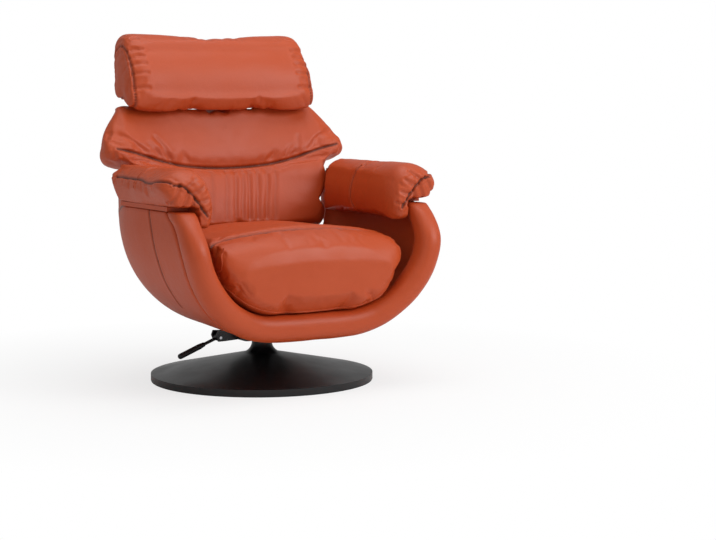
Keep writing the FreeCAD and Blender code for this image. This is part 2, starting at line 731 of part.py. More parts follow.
def rear_opening():
    """Room behind the seat in which the back swings, from its lowest sweep upwards."""
    half = size("rear_opening_half_width")
    pivot_y = size("recline_pivot_back")
    pivot_z = size("recline_pivot_height")
    slope = math.tan(math.radians(37))
    start_y = pivot_y + 6
    start_z = pivot_z - 75
    end_y = pivot_y + 260
    outline = [(start_y, start_z), (end_y, start_z + slope * (end_y - start_y)), (end_y, 900), (start_y, 900)]
    return prism(outline, -half, half)


def tub_wall(outer, inner):
    """The bowl's wall between two insets, trimmed to the side outline and opened at the rear."""
    wall = tub_volume(outer).cut(tub_volume(inner))
    return wall.common(side_slab()).cut(rear_opening()).cut(rim_trim())


def tub_shell():
    """Moulded wooden shell of the tub."""
    outer = size("cover_thickness") + size("slip_gap")
    keep(solid("tub_shell", tub_wall(outer, outer + size("shell_thickness"))))


def tub_covers():
    """Leather and foam on the outside of the shell: two sides and the black cover underneath."""
    wall = tub_wall(0, size("cover_thickness"))
    half = size("under_cover_half_width")
    gap = size("slip_gap") / 2
    far = size("tub_half_width") * 2
    deep = Vector(0, 0, 0)
    middle = Part.makeBox(2 * (half - gap), 4 * far, far, Vector(gap - half, -2 * far, 0))
    left = Part.makeBox(far, 4 * far, far, Vector(half + gap, -2 * far, 0))
    right = Part.makeBox(far, 4 * far, far, Vector(-half - gap - far, -2 * far, 0))
    keep(solid("side_cover_left", wall.common(left)))
    keep(solid("side_cover_right", wall.common(right)))
    keep(solid("under_cover", wall.common(middle)))
    return deep


def roll_section(x, z, normal, half):
    """Outline of the rim roll: a round front, gently bulged sides and a flat rear."""
    ahead = size("rim_front_depth")
    behind = size("rim_rear_depth")
    centre = Vector(x, rim_centre(z), z)
    outward = Vector(normal[0], 0, normal[1])

    def spot(across, along):
        return centre + outward * across + Vector(0, along, 0)

    pinch = half - 3
    flank = -ahead * 0.2
    rest = ahead + flank
    bend = math.sqrt(0.5)
    return Part.Wire([
        Part.Arc(spot(pinch, behind), spot(half + 0.5, (behind + flank) / 2), spot(half, flank)).toShape(),
        Part.Arc(spot(half, flank), spot(half * bend, flank - rest * bend), spot(0, -ahead)).toShape(),
        Part.Arc(spot(0, -ahead), spot(-half * bend, flank - rest * bend), spot(-half, flank)).toShape(),
        Part.Arc(spot(-half, flank), spot(-half - 0.5, (behind + flank) / 2), spot(-pinch, behind)).toShape(),
        Part.LineSegment(spot(-pinch, behind), spot(pinch, behind)).toShape(),
    ])


def rim_stations(top):
    """Centre, outward direction and half thickness of the rim roll along its path, from one arm to the other."""
    side_half = size("rim_side_half")
    base_half = size("rim_base_half")
    outer = size("tub_half_width")
    corner = outer * size("tub_corner_share")
    floor = tub_floor(-size("tub_front"))
    corner_z = floor + corner
    stations = [(outer - side_half, top, (1, 0), side_half),
                (outer - side_half, (top + corner_z) / 2, (1, 0), side_half)]
    turns = 6
    for index in range(turns + 1):
        angle = math.radians(90 * index / turns)
        half = side_half + (base_half - side_half) * index / turns
        normal = (math.cos(angle), -math.sin(angle))
        x = outer - corner + (corner - half) * normal[0]
        z = corner_z + (corner - half) * normal[1]
        stations.append((x, z, normal, half))
    middle = [(0, floor + base_half, (0, -1), base_half)]
    other = [(-x, z, (-normal[0], normal[1]), half) for x, z, normal, half in reversed(stations)]
    return stations + middle + other


def rim_trim():
    """What is taken off the walls in front of the roll's rear face."""
    wires = []
    reach = size("rim_side_half") * 1.7
    for x, z, normal, half in rim_stations(size("wall_top") + 12):
        centre = Vector(x, rim_centre(z), z)
        outward = Vector(normal[0], 0, normal[1])
        near = size("rim_rear_depth") + size("rim_gap")
        far = near - 5 * size("rim_side_half")
        spots = []
        for across, along in ((-reach, near), (reach, near), (reach, far), (-reach, far)):
            spots.append(centre + outward * across + Vector(0, along, 0))
        wires.append(Part.makePolygon(spots + [spots[0]]))
    return loft(wires)


def front_rim_roll():
    """Padded roll round the tub's front edge, from one arm down and across to the other."""
    top = size("wall_top") - size("slip_gap")
    wires = [roll_section(x, z, normal, half) for x, z, normal, half in rim_stations(top)]
    keep(solid("front_rim_roll", loft(wires)))


def tilt_bracket():
    """Plate under the shell with two lugs down to the tilt axle."""
    axle_z = size(TILT_HEIGHT)
    half = size("tilt_plate_half_width")
    depth = size("tilt_plate_half_depth")
    low = axle_z + size("tilt_plate_lift")
    plate = Part.makeBox(2 * half, 2 * depth, 60, Vector(-half, -depth, low))
    plate = plate.cut(tub_volume(-size("slip_gap")))
    eye = size("tilt_axle_radius") + size("tilt_bush_wall") + size("face_gap") + size("tilt_lug_rim")
    hole = size("tilt_axle_radius") + size("tilt_bush_wall") + size("face_gap") / 2
    inner = size("tilt_lug_inner")
    thickness = size("tilt_lug_thickness")
    for start in (inner, -inner - thickness):
        eye_disc = Part.makeCylinder(eye, thickness, Vector(start, 0, axle_z), Vector(1, 0, 0))
        web = Part.makeBox(thickness, 2 * eye, low - axle_z + 2, Vector(start, -eye, axle_z))
        bore = Part.makeCylinder(hole, thickness + 2, Vector(start - 1, 0, axle_z), Vector(1, 0, 0))
        plate = plate.fuse([eye_disc, web]).cut(bore)
    keep(solid("tilt_bracket", plate.removeSplitter()))


def tilt_bushes():
    """Bushes in the lugs that run on the axle."""
    bushes = []
    outer = "tilt_axle_radius + tilt_bush_wall"
    for name, start in (("left", "tilt_lug_inner"), ("right", "0 - tilt_lug_inner - tilt_lug_thickness")):
        at = (start, "0", TILT_HEIGHT)
        blank = cylinder("tilt_bush_blank_" + name, outer, "tilt_lug_thickness", at, "X")
        bore = cylinder("tilt_bush_bore_" + name, "tilt_axle_radius + run_gap", "tilt_lug_thickness", at, "X")
        bushes.append(cut("tilt_bush_" + name, blank, bore))
    keep(group("tilt_bushes", bushes))


def tub_cavity():
    """The space inside the shell, with a small gap all round."""
    wall = size("cover_thickness") + size("shell_thickness") + 2 * size("slip_gap")
    return tub_volume(wall)


def seat_frame(cavity):
    """Square-tube ring under the seat, on two bearers that stand on the shell's floor."""
    tube = size("seat_tube")
    half = size("seat_frame_half_width")
    front = -size("seat_front") + size("seat_apron_depth") + 6
    rear = size("seat_rear") - 4
    top = size("seat_edge_height") - size("seat_thickness") - 2 * size("webbing_thickness") - 3 * size("slip_gap")
    base = top - tube
    ring = Part.makeBox(2 * half, rear - front, tube, Vector(-half, front, base))
    hollow = Part.makeBox(2 * (half - tube), rear - front - 2 * tube, tube + 2, Vector(tube - half, front + tube, base - 1))
    parts = [Part.makeBox(tube, rear - front, base - size("tub_front_floor"), Vector(side, front, size("tub_front_floor")))
             for side in (-half * 0.3 - tube, half * 0.3)]
    for y in (front, rear - tube):
        parts.append(Part.makeBox(2 * half, tube, 1, Vector(-half, y, base)))
    frame = ring.cut(hollow)
    posts = [part.common(cavity) for part in parts[:2]]
    window = Part.makeBox(2 * half, rear - front - 2 * tube, top, Vector(-half, front + tube, 0))
    legs = [post.cut(window) for post in posts]
    keep(solid("seat_frame", frame.fuse(legs).removeSplitter()))


def seat_webbing():
    """Woven bands over the seat frame, lengthways under the bands that run across."""
    tube = size("seat_tube")
    half = size("seat_frame_half_width")
    width = size("webbing_width")
    thick = size("webbing_thickness")
    gap = size("slip_gap")
    front = -size("seat_front") + size("seat_apron_depth") + 6
    rear = size("seat_rear") - 4
    top = size("seat_edge_height") - size("seat_thickness") - gap
    bands = []
    pitch = 2 * (half - tube) / 5
    for index in range(5):
        x = -half + tube + pitch * (index + 0.5) - width / 2
        bands.append(Part.makeBox(width, rear - front - 4, thick, Vector(x, front + 2, top - 2 * thick - gap)))
    pitch = (rear - front - 2 * tube) / 3
    for index in range(3):
        y = front + tube + pitch * (index + 0.5) - width / 2
        bands.append(Part.makeBox(2 * half - 4, width, thick, Vector(2 - half, y, top - thick)))
    keep(solid("seat_webbing", Part.makeCompound(bands)))


def seat_section(y, width, edge, crown, base):
    """Outline across the seat: crowned top, rounded edges and a base that follows the tub's curve."""
    flat = size("under_cover_half_width") * 0.9
    shoulder = 34
    low = edge - shoulder
    bend = math.sqrt(0.5)
    belly = (flat + (width - flat) * bend, low - (low - base) * bend)
    points = [
        (-width + 26, edge + 2), (0, edge + crown), (width - 26, edge + 2), (width - 6, edge - 10),
        (width, low), belly, (flat, base), (0, base - 1),
        (-flat, base), (-belly[0], belly[1]), (-width, low), (6 - width, edge - 10),
    ]
    return arc_loop(points, lambda x, z: Vector(x, y, z))


def seat_cushion(cavity):
    """Deep cushion with a rolled front that drops into the tub as an apron."""
    width = size("seat_half_width")
    edge = size("seat_edge_height")
    crown = size("seat_crown")
    base = size("seat_apron_base")
    front = -size("seat_front")
    rear = size("seat_rear")
    sections = [
        seat_section(front, width - 62, edge - 62, 12, base + 38),
        seat_section(front + 9, width - 30, edge - 40, 18, base + 17),
        seat_section(front + 30, width - 9, edge - 15, 23, base + 4),
        seat_section(front + 70, width - 1, edge, crown - 2, base),
        seat_section(front + 180, width, edge + 3, crown, base),
        seat_section(rear - 90, width, edge, crown, base),
        seat_section(rear - 18, width - 3, edge - 5, crown - 2, base),
        seat_section(rear, width - 12, edge - 16, crown - 6, base),
    ]
    body = loft(sections)
    top = edge - size("seat_thickness")
    recess_front = front + size("seat_apron_depth")
    recess = Part.makeBox(4 * width, rear - recess_front + 50, top, Vector(-2 * width, recess_front, 0))
    keep(solid("seat_cushion", body.cut(recess).common(cavity)))


def arm_board():
    """Boards on the side walls that the arm pads are fixed to."""
    outer = size("tub_half_width") - size("slip_gap")
    inner = size("tub_half_width") - 2 * size("rim_side_half") + size("slip_gap")
    low = size("wall_top") + size("slip_gap")
    front = -size("pad_front") + 56
    rear = pad_end(low) - size("slip_gap")
    board = Part.makeBox(outer - inner, rear - front, size("arm_board_thickness"), Vector(inner, front, low))
    keep(solid("arm_board_left", board))
    keep(solid("arm_board_right", mirrored(board)))


def pad_section(y, share, drop):
    """Outline of an arm pad: rounded over the wall and hanging on the seat's side."""
    inner = size("pad_inner")
    along = (y + size("pad_front")) / (size("pad_rear") + size("pad_front"))
    outer = size("pad_outer") + (size("pad_rear_outer") - size("pad_outer")) * along
    foot = size("tub_half_width") - 1
    top = size("pad_top")
    low = size("pad_inner_base")
    middle_x = (inner + foot) / 2 + 12
    middle_z = (top + low) / 2 + 18
    points = [
        (inner + 12, low), (inner, low + 48), (inner + 13, top - 44), (inner + 33, top - 13),
        (inner + 70, top - 1), (middle_x + 14, top), (outer - 34, top - 12), (outer - 11, top - 25),
        (outer, top - 46), (outer * 0.6 + foot * 0.4, top - 74), (foot, top - 99), (middle_x, low + 10),
    ]
    scaled = []
    for x, z in points:
        scaled.append((middle_x + (x - middle_x) * share, middle_z + (z - middle_z) * share - drop))
    return arc_loop(scaled, lambda x, z: Vector(x, y, z))


def pad_tail(slope, low_x, high_x):
    """What is cut off an arm pad's rear end between two distances from the middle."""
    gap = size("slip_gap")
    far = 2 * size("pad_rear")
    top = size("wall_shoulder")
    outline = []
    for z in (size("pad_inner_base") - 20, top, size("pad_top") + 20):
        outline.append((pad_end(z, slope) - gap, z))
    outline += [(far, outline[-1][1]), (far, outline[0][1])]
    return prism(outline, low_x, high_x)


def arm_pads():
    """Plump pads over the side walls, gathered smaller at their front ends."""
    front = -size("pad_front")
    rear = size("pad_rear")
    gather = size("pad_gather")
    sections = []
    for along in (0, 8, 20, 40, 70, 110, 160, 220, 290, 360, rear + 24 - front):
        away = max(0, 1 - along / gather)
        share = 1 - 0.38 * (1 - math.sqrt(1 - away ** 2))
        sections.append(pad_section(front + along, share, 16 * away ** 1.5))
    body = loft(sections)
    gap = size("slip_gap")
    reach = size("tub_half_width")
    inner = reach - 2 * size("rim_side_half") - 4 * size("rim_gap")
    board_top = size("wall_top") + size("arm_board_thickness") + 2 * gap
    notch = Part.makeBox(200, 700, board_top, Vector(inner, -400, 0))
    wall_inner = reach - size("cover_thickness") - size("shell_thickness") - 3 * gap
    inset = size("cover_thickness") + size("shell_thickness") + 3 * gap
    wall_inner = reach - inset
    wall = side_slab(2 * gap).common(Part.makeBox(400, 900, 900, Vector(200, -450, 0))).cut(tub_volume(inset))
    tail = pad_tail("pad_end_slope", wall_inner, 600).fuse(pad_tail("pad_inner_slope", 0, wall_inner))
    pad = body.cut(notch).cut(wall).cut(tail)
    keep(solid("arm_pad_left", pad))
    keep(solid("arm_pad_right", mirrored(pad)))


def recline_brackets(cavity):
    """Blocks on the shell's inner wall that hold the recline pins."""
    start = size("back_tube_half_width") + size("back_tube_radius") + size("recline_arm_thickness") + 3.4
    y = size("recline_pivot_back")
    z = size("recline_pivot_height")
    half = 16
    block = Part.makeBox(120, 2 * half, 2 * half, Vector(start, y - half, z - half)).common(cavity)
    hole = size("recline_pin_radius") + size("face_gap")
    block = block.cut(Part.makeCylinder(hole, 25, Vector(start - 1, y, z), Vector(1, 0, 0)))
    keep(solid("recline_bracket_left", block))
    keep(solid("recline_bracket_right", mirrored(block)))


def recline_pins():
    """Pins from the brackets through the eyes of the recline arms."""
    start = "back_tube_half_width + back_tube_radius - 3"
    length = "recline_arm_thickness + 27"
    for name, low in (("left", start), ("right", "0 - (%s) - (%s)" % (start, length))):
        keep(cylinder("recline_pin_" + name, "recline_pin_radius", length,
                      (low, "recline_pivot_back", "recline_pivot_height"), "X"))


# The back is drawn upright about the recline pin and then leaned back by its rake

def back_placement():
    """From the upright frame at the recline pin to the chair."""
    turn = FreeCAD.Rotation(Vector(1, 0, 0), -size("back_rake"))
    return FreeCAD.Placement(Vector(0, size("recline_pivot_back"), size("recline_pivot_height")), turn)


def back_half_width(z):
    """Half width of the back: a waist between the arms, wings above them and sloping shoulders."""
    waist = size("back_waist")
    wing = size("back_wing")
    shoulder = size("back_shoulder")
    top = size("back_top")
    knots = [(0, waist - 6), (0.30, waist), (0.47, waist + 2), (0.53, waist + 4), (0.565, wing - 46), (0.60, wing - 14),
             (0.65, wing - 2), (0.72, wing - 1), (0.82, wing - 18), (0.92, shoulder + 12), (1.0, shoulder)]
    share = z / top
    for (low, first), (high, second) in zip(knots, knots[1:]):
        if share <= high:
            return first + (second - first) * (share - low) / (high - low)
    return shoulder


def back_wing_reach(z):
    """How far the wings stand ahead of the middle of the back."""
    share = z / size("back_top")
    knots = [(0, 4), (0.40, 22), (0.60, 44), (0.70, 34), (0.80, 18), (0.92, 2), (1.0, -4)]
    for (low, first), (high, second) in zip(knots, knots[1:]):
        if share <= high:
            return first + (second - first) * (share - low) / (high - low)
    return knots[-1][1]


def back_section(z, width, front, wing, rear):
    """Outline of the back at a height: hollowed front, rounded wings that taper to a flat rear."""
    nose = front + wing
    points = [
        (-width + 24, -nose), (0, -front), (width - 24, -nose), (width - 4, -nose + 11),
        (width, -nose * 0.62), (width - 8, -nose * 0.25), (width - 40, rear), (0, rear + 0.01),
        (40 - width, rear), (8 - width, -nose * 0.25), (-width, -nose * 0.62), (4 - width, 11 - nose),
    ]
    return arc_loop(points, lambda x, y: Vector(x, y, z))


def back_cushion():
    """Front cushion of the back, with its wings and a pinch along the sewn line."""
    base = size("back_base")
    top = size("back_top")
    front = size("back_front")
    plane = size("back_plane")
    sections = []
    for share, swell in ((0, -22), (0.03, -8), (0.12, 0), (0.3, 6), (0.40, 5), (0.46, 1), (0.50, -3), (0.545, 0), (0.60, 4), (0.68, 5), (0.80, 3),
                         (0.90, -2), (0.965, -12), (1.0, -30)):
        z = base + (top - base) * share
        sections.append(back_section(z, back_half_width(z) + min(0, swell * 0.5), front + swell, back_wing_reach(z), plane))
    keep(solid("back_cushion", loft(sections), back_placement()))


def cover_section(z, width, low, high, corner):
    """Outline of the rear cover: flat where it meets the cushion, rounded behind."""
    points = [
        (-width, low), (-width + corner * 0.3, high - corner * 0.3), (-width + corner, high), (0, high + 0.01),
        (width - corner, high), (width - corner * 0.3, high - corner * 0.3), (width, low), (0, low + 0.01),
    ]
    return arc_loop(points, lambda x, y: Vector(x, y, z))


def back_rear_cover():
    """Dished cover behind the back frame, open at the bottom for the recline arms."""
    base = size("back_base") - 12
    top = size("back_top")
    wall = size("back_cover_wall")
    low = size("back_plane") + size("slip_gap")
    high = size("back_rear")
    outer = []
    inner = []
    for share, dip in ((0, 6), (0.1, 1), (0.35, 0), (0.5, 0), (0.65, 0), (0.8, 0), (0.93, 4), (1.0, 16)):
        z = base + (top - base) * share
        width = back_half_width(z) - size("back_cover_setback")
        outer.append(cover_section(z, width, low, high - dip, 34))
        depth = z - 30 if share == 0 else min(z, top - wall)
        inner.append(cover_section(depth, width - wall, low - 5, high - wall - dip, 30))
    shell = loft(outer).cut(loft(inner))
    offset = size("head_arm_offset")
    thickness = size("head_arm_thickness")
    for side in (-1, 1):
        start = side * offset - thickness
        shell = shell.cut(Part.makeBox(2 * thickness, 80, 60, Vector(start, -20, top - 40)))
    keep(solid("back_rear_cover", shell, back_placement()))


def tube_path(points, radius):
    """Straight runs through points in a plane of constant Y, with round bends between them."""
    edges = []
    start = points[0]
    for before, corner, after in zip(points, points[1:], points[2:]):
        into = (corner - before).normalize()
        out = (after - corner).normalize()
        turn = into.getAngle(out)
        setback = radius * math.tan(turn / 2)
        first = corner - into * setback
        last = corner + out * setback
        middle = (out - into).normalize() * (radius / math.cos(turn / 2) - radius)
        edges.append(Part.LineSegment(start, first).toShape())
        edges.append(Part.Arc(first, corner + middle, last).toShape())
        start = last
    edges.append(Part.LineSegment(start, points[-1]).toShape())
    return Part.Wire(edges)


def back_frame():
    """Bent steel tube hoop with two cross tubes."""
    half = size("back_tube_half_width")
    radius = size("back_tube_radius")
    y = size("back_plane") + 2 * size("slip_gap") + size("webbing_thickness") + radius
    low = size("back_base") + 8
    top = size("back_top") - 44
    path = tube_path([Vector(-half, y, low), Vector(-half, y, top), Vector(half, y, top), Vector(half, y, low)], 60)
    ring = Part.Wire(Part.makeCircle(radius, Vector(-half, y, low), Vector(0, 0, 1)))
    hoop = path.makePipeShell([ring], True, False)
    bars = []
    for z in (low + 30, low + 190):
        bars.append(Part.makeCylinder(radius * 0.8, 2 * half, Vector(-half, y, z), Vector(1, 0, 0)))
    keep(solid("back_frame", hoop.fuse(bars).removeSplitter(), back_placement()))


def back_webbing():
    """Bands across the back frame behind the cushion."""
    half = size("back_tube_half_width")
    width = size("webbing_width")
    thick = size("webbing_thickness")
    y = size("back_plane") + size("slip_gap")
    low = size("back_base") + 24
    bands = []
    for index in range(4):
        bands.append(Part.makeBox(2 * half, thick, width, Vector(-half, y, low + index * width * 1.5)))
    keep(solid("back_webbing", Part.makeCompound(bands), back_placement()))


def recline_arms():
    """Plates from the back frame down to the recline pins."""
    inner = size("back_tube_half_width") + size("back_tube_radius") + size("slip_gap")
    thickness = size("recline_arm_thickness")
    eye = size("recline_eye_radius")
    low = size("back_plane") + 2 * size("slip_gap") + size("webbing_thickness")
    high = low + 2 * size("back_tube_radius")
    bend = eye * 0.7
    outline = [(-bend, -bend * 0.2), (low - 2, size("back_base") - 12), (low, size("back_base") + 70),
               (high, size("back_base") + 70), (high, size("back_base") - 10), (bend, -bend)]
    web = prism(outline, inner, inner + thickness)
    disc = Part.makeCylinder(eye, thickness, Vector(inner, 0, 0), Vector(1, 0, 0))
    hole = size("recline_pin_radius") + size("recline_bush_wall") + size("run_gap")
    bore = Part.makeCylinder(hole, thickness + 2, Vector(inner - 1, 0, 0), Vector(1, 0, 0))
    arm = web.fuse(disc).cut(bore).removeSplitter()
    keep(solid("recline_arm_left", arm, back_placement()))
    keep(solid("recline_arm_right", mirrored(arm), back_placement()))


def recline_bushes():
    """Flanged bushes in the eyes of the recline arms."""
    inner = size("back_tube_half_width") + size("back_tube_radius") + size("slip_gap")
    thickness = size("recline_arm_thickness")
    pin = size("recline_pin_radius") + size("run_gap")
    outer = size("recline_pin_radius") + size("recline_bush_wall")
    barrel = Part.makeCylinder(outer, thickness, Vector(inner, 0, 0), Vector(1, 0, 0))
    flange = Part.makeCylinder(outer + 3, 2.5, Vector(inner + thickness, 0, 0), Vector(1, 0, 0))
    bore = Part.makeCylinder(pin, thickness + 6, Vector(inner - 1, 0, 0), Vector(1, 0, 0))
    bush = barrel.fuse(flange).cut(bore).removeSplitter()
    keep(solid("recline_bushes", Part.makeCompound([bush, mirrored(bush)]), back_placement()))


def head_profile(x, share):
    """Side outline of the headrest: a round lower roll, a full front and a rounded top."""
    axis_y = -size("head_axis_ahead")
    axis_z = size("head_axis_up")
    roll = size("head_roll_radius")
    top = size("head_top")

    def on_roll(angle):
        return axis_y + roll * math.cos(math.radians(angle)), axis_z + roll * math.sin(math.radians(angle))

    points = [
        on_roll(-90), on_roll(-145), on_roll(160), (axis_y - roll - 3, (axis_z + top) / 2 - 28),
        (axis_y - 27, top - 77), (axis_y - 12, top - 28), (axis_y + 22, top - 4), (axis_y + 48, top - 1),
        (axis_y + 76, top - 22), (axis_y + 88, top - 70), (axis_y + 87, top - 137), (axis_y + 82, axis_z + 20),
        (axis_y + 66, axis_z + 10), (axis_y + 50, axis_z + 8.5), on_roll(5), on_roll(-40),
    ]
    middle_y = axis_y + 26
    middle_z = (axis_z + top) / 2 - 14
    taper = size("head_taper") / (top - axis_z)
    scaled = [(middle_y + (y - middle_y) * share, middle_z + (z - middle_z) * share) for y, z in points]
    return arc_loop(scaled, lambda y, z: Vector(x * (1 - taper * (z - axis_z)), y, z))


def headrest_cushion():
    """Full roll-shaped cushion with drawn-in ends and slots for its hinge plates and frame."""
    half = size("head_half_width")
    stations = [(1.0, 0.76), (0.985, 0.88), (0.94, 0.96), (0.8, 0.995), (0.4, 1.0)]
    wires = [head_profile(-half * place, share) for place, share in stations]
    wires.append(head_profile(0, 1.005))
    wires += [head_profile(half * place, share) for place, share in reversed(stations)]
    body = loft(wires)
    for slot in head_slots():
        body = body.cut(slot)
    keep(solid("headrest_cushion", body, back_placement()))


def head_slots():
    """Room in the headrest for its frame and for the hinge plates."""
    gap = size("slip_gap")
    axis_y = -size("head_axis_ahead")
    axis_z = size("head_axis_up")
    offset = size("head_arm_offset")
    thickness = size("head_arm_thickness")
    reach = head_plate_span()
    frame = Part.makeBox(2 * (reach + gap), thickness + 2 * gap, size("head_top") - axis_z - 74,
                         Vector(-reach - gap, axis_y + 33 - gap, axis_z + 27))
    slots = [frame]
    for side in (-1, 1):
        near = side * (offset - thickness - 1)
        far = side * (offset + 2.5 * thickness)
        low = min(near, far)
        width = abs(far - near)
        slots.append(Part.makeBox(width, 130, 62, Vector(low, axis_y - 10, axis_z - 44)))
        slots.append(Part.makeBox(width, 50, 30, Vector(low, axis_y - 10, axis_z)))
    return slots


def head_plate_span():
    """Half width of the headrest's inner plate."""
    return size("head_half_width") * 0.66


def headrest_frame():
    """Steel plate in the headrest with two ears at its hinge."""
    gap = size("slip_gap")
    axis_y = -size("head_axis_ahead")
    axis_z = size("head_axis_up")
    offset = size("head_arm_offset") + size("head_arm_thickness") / 2 + gap
    thickness = size("head_arm_thickness")
    reach = head_plate_span()
    plate = Part.makeBox(2 * reach, thickness, size("head_top") - axis_z - 76, Vector(-reach, axis_y + 33, axis_z + 28))
    eye = size("head_pin_radius") + 5
    ears = []
    for start in (offset, -offset - thickness):
        ear = prism([(axis_y - eye * 0.6, axis_z + eye * 0.5), (axis_y + 33, axis_z + 29),
                     (axis_y + 33 + thickness, axis_z + 29), (axis_y + eye * 0.8, axis_z - eye * 0.4)],
                    start, start + thickness)
        disc = Part.makeCylinder(eye, thickness, Vector(start, axis_y, axis_z), Vector(1, 0, 0))
        ears += [ear, disc]
    frame = plate.fuse(ears)
    hole = size("head_pin_radius") + gap / 2
    for start in (offset, -offset - thickness):
        frame = frame.cut(Part.makeCylinder(hole, thickness + 2, Vector(start - 1, axis_y, axis_z), Vector(1, 0, 0)))
    keep(solid("headrest_frame", frame.removeSplitter(), back_placement()))


def headrest_pins():
    """Hinge pins of the headrest."""
    axis_y = -size("head_axis_ahead")
    axis_z = size("head_axis_up")
    start = size("head_arm_offset") - size("head_arm_thickness")
    length = 3 * size("head_arm_thickness")
    pin = Part.makeCylinder(size("head_pin_radius"), length, Vector(start, axis_y, axis_z), Vector(1, 0, 0))
    keep(solid("headrest_pins", Part.makeCompound([pin, mirrored(pin)]), back_placement()))


def headrest_arms():
    """Hinge plates from the back frame over the top of the back to the headrest's hinge."""
    axis_y = -size("head_axis_ahead")
    axis_z = size("head_axis_up")
    thickness = size("head_arm_thickness")
    start = size("head_arm_offset") - thickness / 2
    tube_rear = size("back_plane") + 2 * size("slip_gap") + size("webbing_thickness") + 2 * size("back_tube_radius")
    eye = size("head_pin_radius") + 5
    top = size("back_top")
    outline = [(tube_rear + 0.5, top - 60), (tube_rear + 5, top - 60), (tube_rear + 5, axis_z + 8), (axis_y, axis_z + eye),
               (axis_y, axis_z - 4), (axis_y + 30, top + 5), (tube_rear - 6, top + 5), (tube_rear + 0.5, top - 2)]
    web = prism(outline, start, start + thickness)
    disc = Part.makeCylinder(eye, thickness, Vector(start, axis_y, axis_z), Vector(1, 0, 0))
    hole = size("head_pin_radius") + size("run_gap")
    bore = Part.makeCylinder(hole, thickness + 2, Vector(start - 1, axis_y, axis_z), Vector(1, 0, 0))
    arm = web.fuse(disc).cut(bore).removeSplitter()
    keep(solid("headrest_arm_left", arm, back_placement()))
    keep(solid("headrest_arm_right", mirrored(arm), back_placement()))


def build():
    """Make every piece, from the floor up."""
    fill_sheet()
    floor_pad()
    base_ballast()
    base_trumpet()
    column_tube()
    column_bolts()
    swivel_bush("swivel_bush_lower", "lower_bush_base")
    swivel_bush("swivel_bush_upper", COLUMN_TOP + " - bush_length")
    thrust_washer()
    swivel_spindle()
    spindle_lock_nut()
    mechanism_housing()
    housing_bolts()
    tilt_axle()
    clamp_discs()
    stop_buffers()
    lever_bracket()
    lever_pin()
    lever_hub()
    lever_rod()
    lever_grip()
    tilt_bracket()
    tilt_bushes()
    tub_shell()
    tub_covers()
    front_rim_roll()
    cavity = tub_cavity()
    seat_frame(cavity)
    seat_webbing()
    seat_cushion(cavity)
    arm_board()
    arm_pads()
    recline_brackets(cavity)
    recline_pins()
    back_frame()
    back_webbing()
    back_cushion()
    back_rear_cover()
    recline_arms()
    recline_bushes()
    headrest_arms()
    headrest_cushion()
    headrest_frame()
    headrest_pins()
    DOC.recompute()


def check():
    """Stop where an object failed or a piece is not a sound solid."""
    for item in DOC.Objects:
        if "Invalid" in item.State or "Error" in item.State:
            raise RuntimeError("%s failed: %s" % (item.Label, item.State))
    for item in NODES:
        if item.Shape.isNull() or not item.Shape.isValid() or not item.Shape.Solids:
            raise RuntimeError("%s is not a sound solid" % item.Label)


def write():
    """One STEP file for each piece."""
    os.makedirs("parts", exist_ok=True)
    for item in NODES:
        item.Shape.exportStep("parts/%s.step" % item.Label)
        print("%-22s %2d solids %12.1f mm3" % (item.Label, len(item.Shape.Solids), item.Shape.Volume))


build()
check()
write()
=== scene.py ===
"""Dresses the swivel recliner: leather upholstery, painted steel pedestal and a plain white studio."""

import math

import bmesh
import bpy
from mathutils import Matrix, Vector, kdtree, noise
from mathutils.bvhtree import BVHTree


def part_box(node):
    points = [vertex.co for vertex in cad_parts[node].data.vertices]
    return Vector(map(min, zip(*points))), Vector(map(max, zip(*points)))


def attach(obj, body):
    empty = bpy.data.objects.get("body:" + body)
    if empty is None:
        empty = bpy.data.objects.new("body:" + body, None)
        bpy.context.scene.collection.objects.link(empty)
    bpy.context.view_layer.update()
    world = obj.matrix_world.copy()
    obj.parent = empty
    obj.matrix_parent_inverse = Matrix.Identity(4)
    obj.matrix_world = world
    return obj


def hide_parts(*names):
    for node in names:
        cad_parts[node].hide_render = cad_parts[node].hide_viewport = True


bl_info = {
    "name": "Swivel recliner upholstery",
    "version": (1, 0, 0),
    "blender": (4, 5, 0),
    "location": "View3D > Sidebar > Recliner",
    "description": "Builds the leather cushions, covers, finishes and studio of a swivel recliner",
    "category": "Object",
}

MM = 0.001
SEAM_REACH = 4      # widths of a seam within which the leather still moves
LIP_PLACE = 2       # widths from a seam's middle to the top of its lips
CURVE_STEP = 2 * MM
LOOK_DISTANCE = 1.5
HEADREST_ARM = 118 * MM
CAMERA_PLACE = (-2.4210, -4.3830, 0.8369)
CAMERA_LOOK = (0.5269, 0.8433, -0.1057)
CAMERA_LENS = 90.67
LAMPS = (
    # name, place, width in metres, watts
    ("key_softbox", (2.2, -3.2, 2.6), 2.2, 84),
    ("fill_softbox", (-3.2, -3.2, 1.8), 2.6, 9),
    ("top_softbox", (0.3, -0.2, 3.6), 2.4, 46),
)
SURROUND_LEVEL = 0.42
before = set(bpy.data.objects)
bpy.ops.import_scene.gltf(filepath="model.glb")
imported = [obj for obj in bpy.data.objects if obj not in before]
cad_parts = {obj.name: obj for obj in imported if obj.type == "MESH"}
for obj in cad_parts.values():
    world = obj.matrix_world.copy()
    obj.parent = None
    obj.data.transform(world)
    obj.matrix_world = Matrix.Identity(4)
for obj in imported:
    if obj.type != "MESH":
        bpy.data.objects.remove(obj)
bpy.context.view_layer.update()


# Sizes and colours

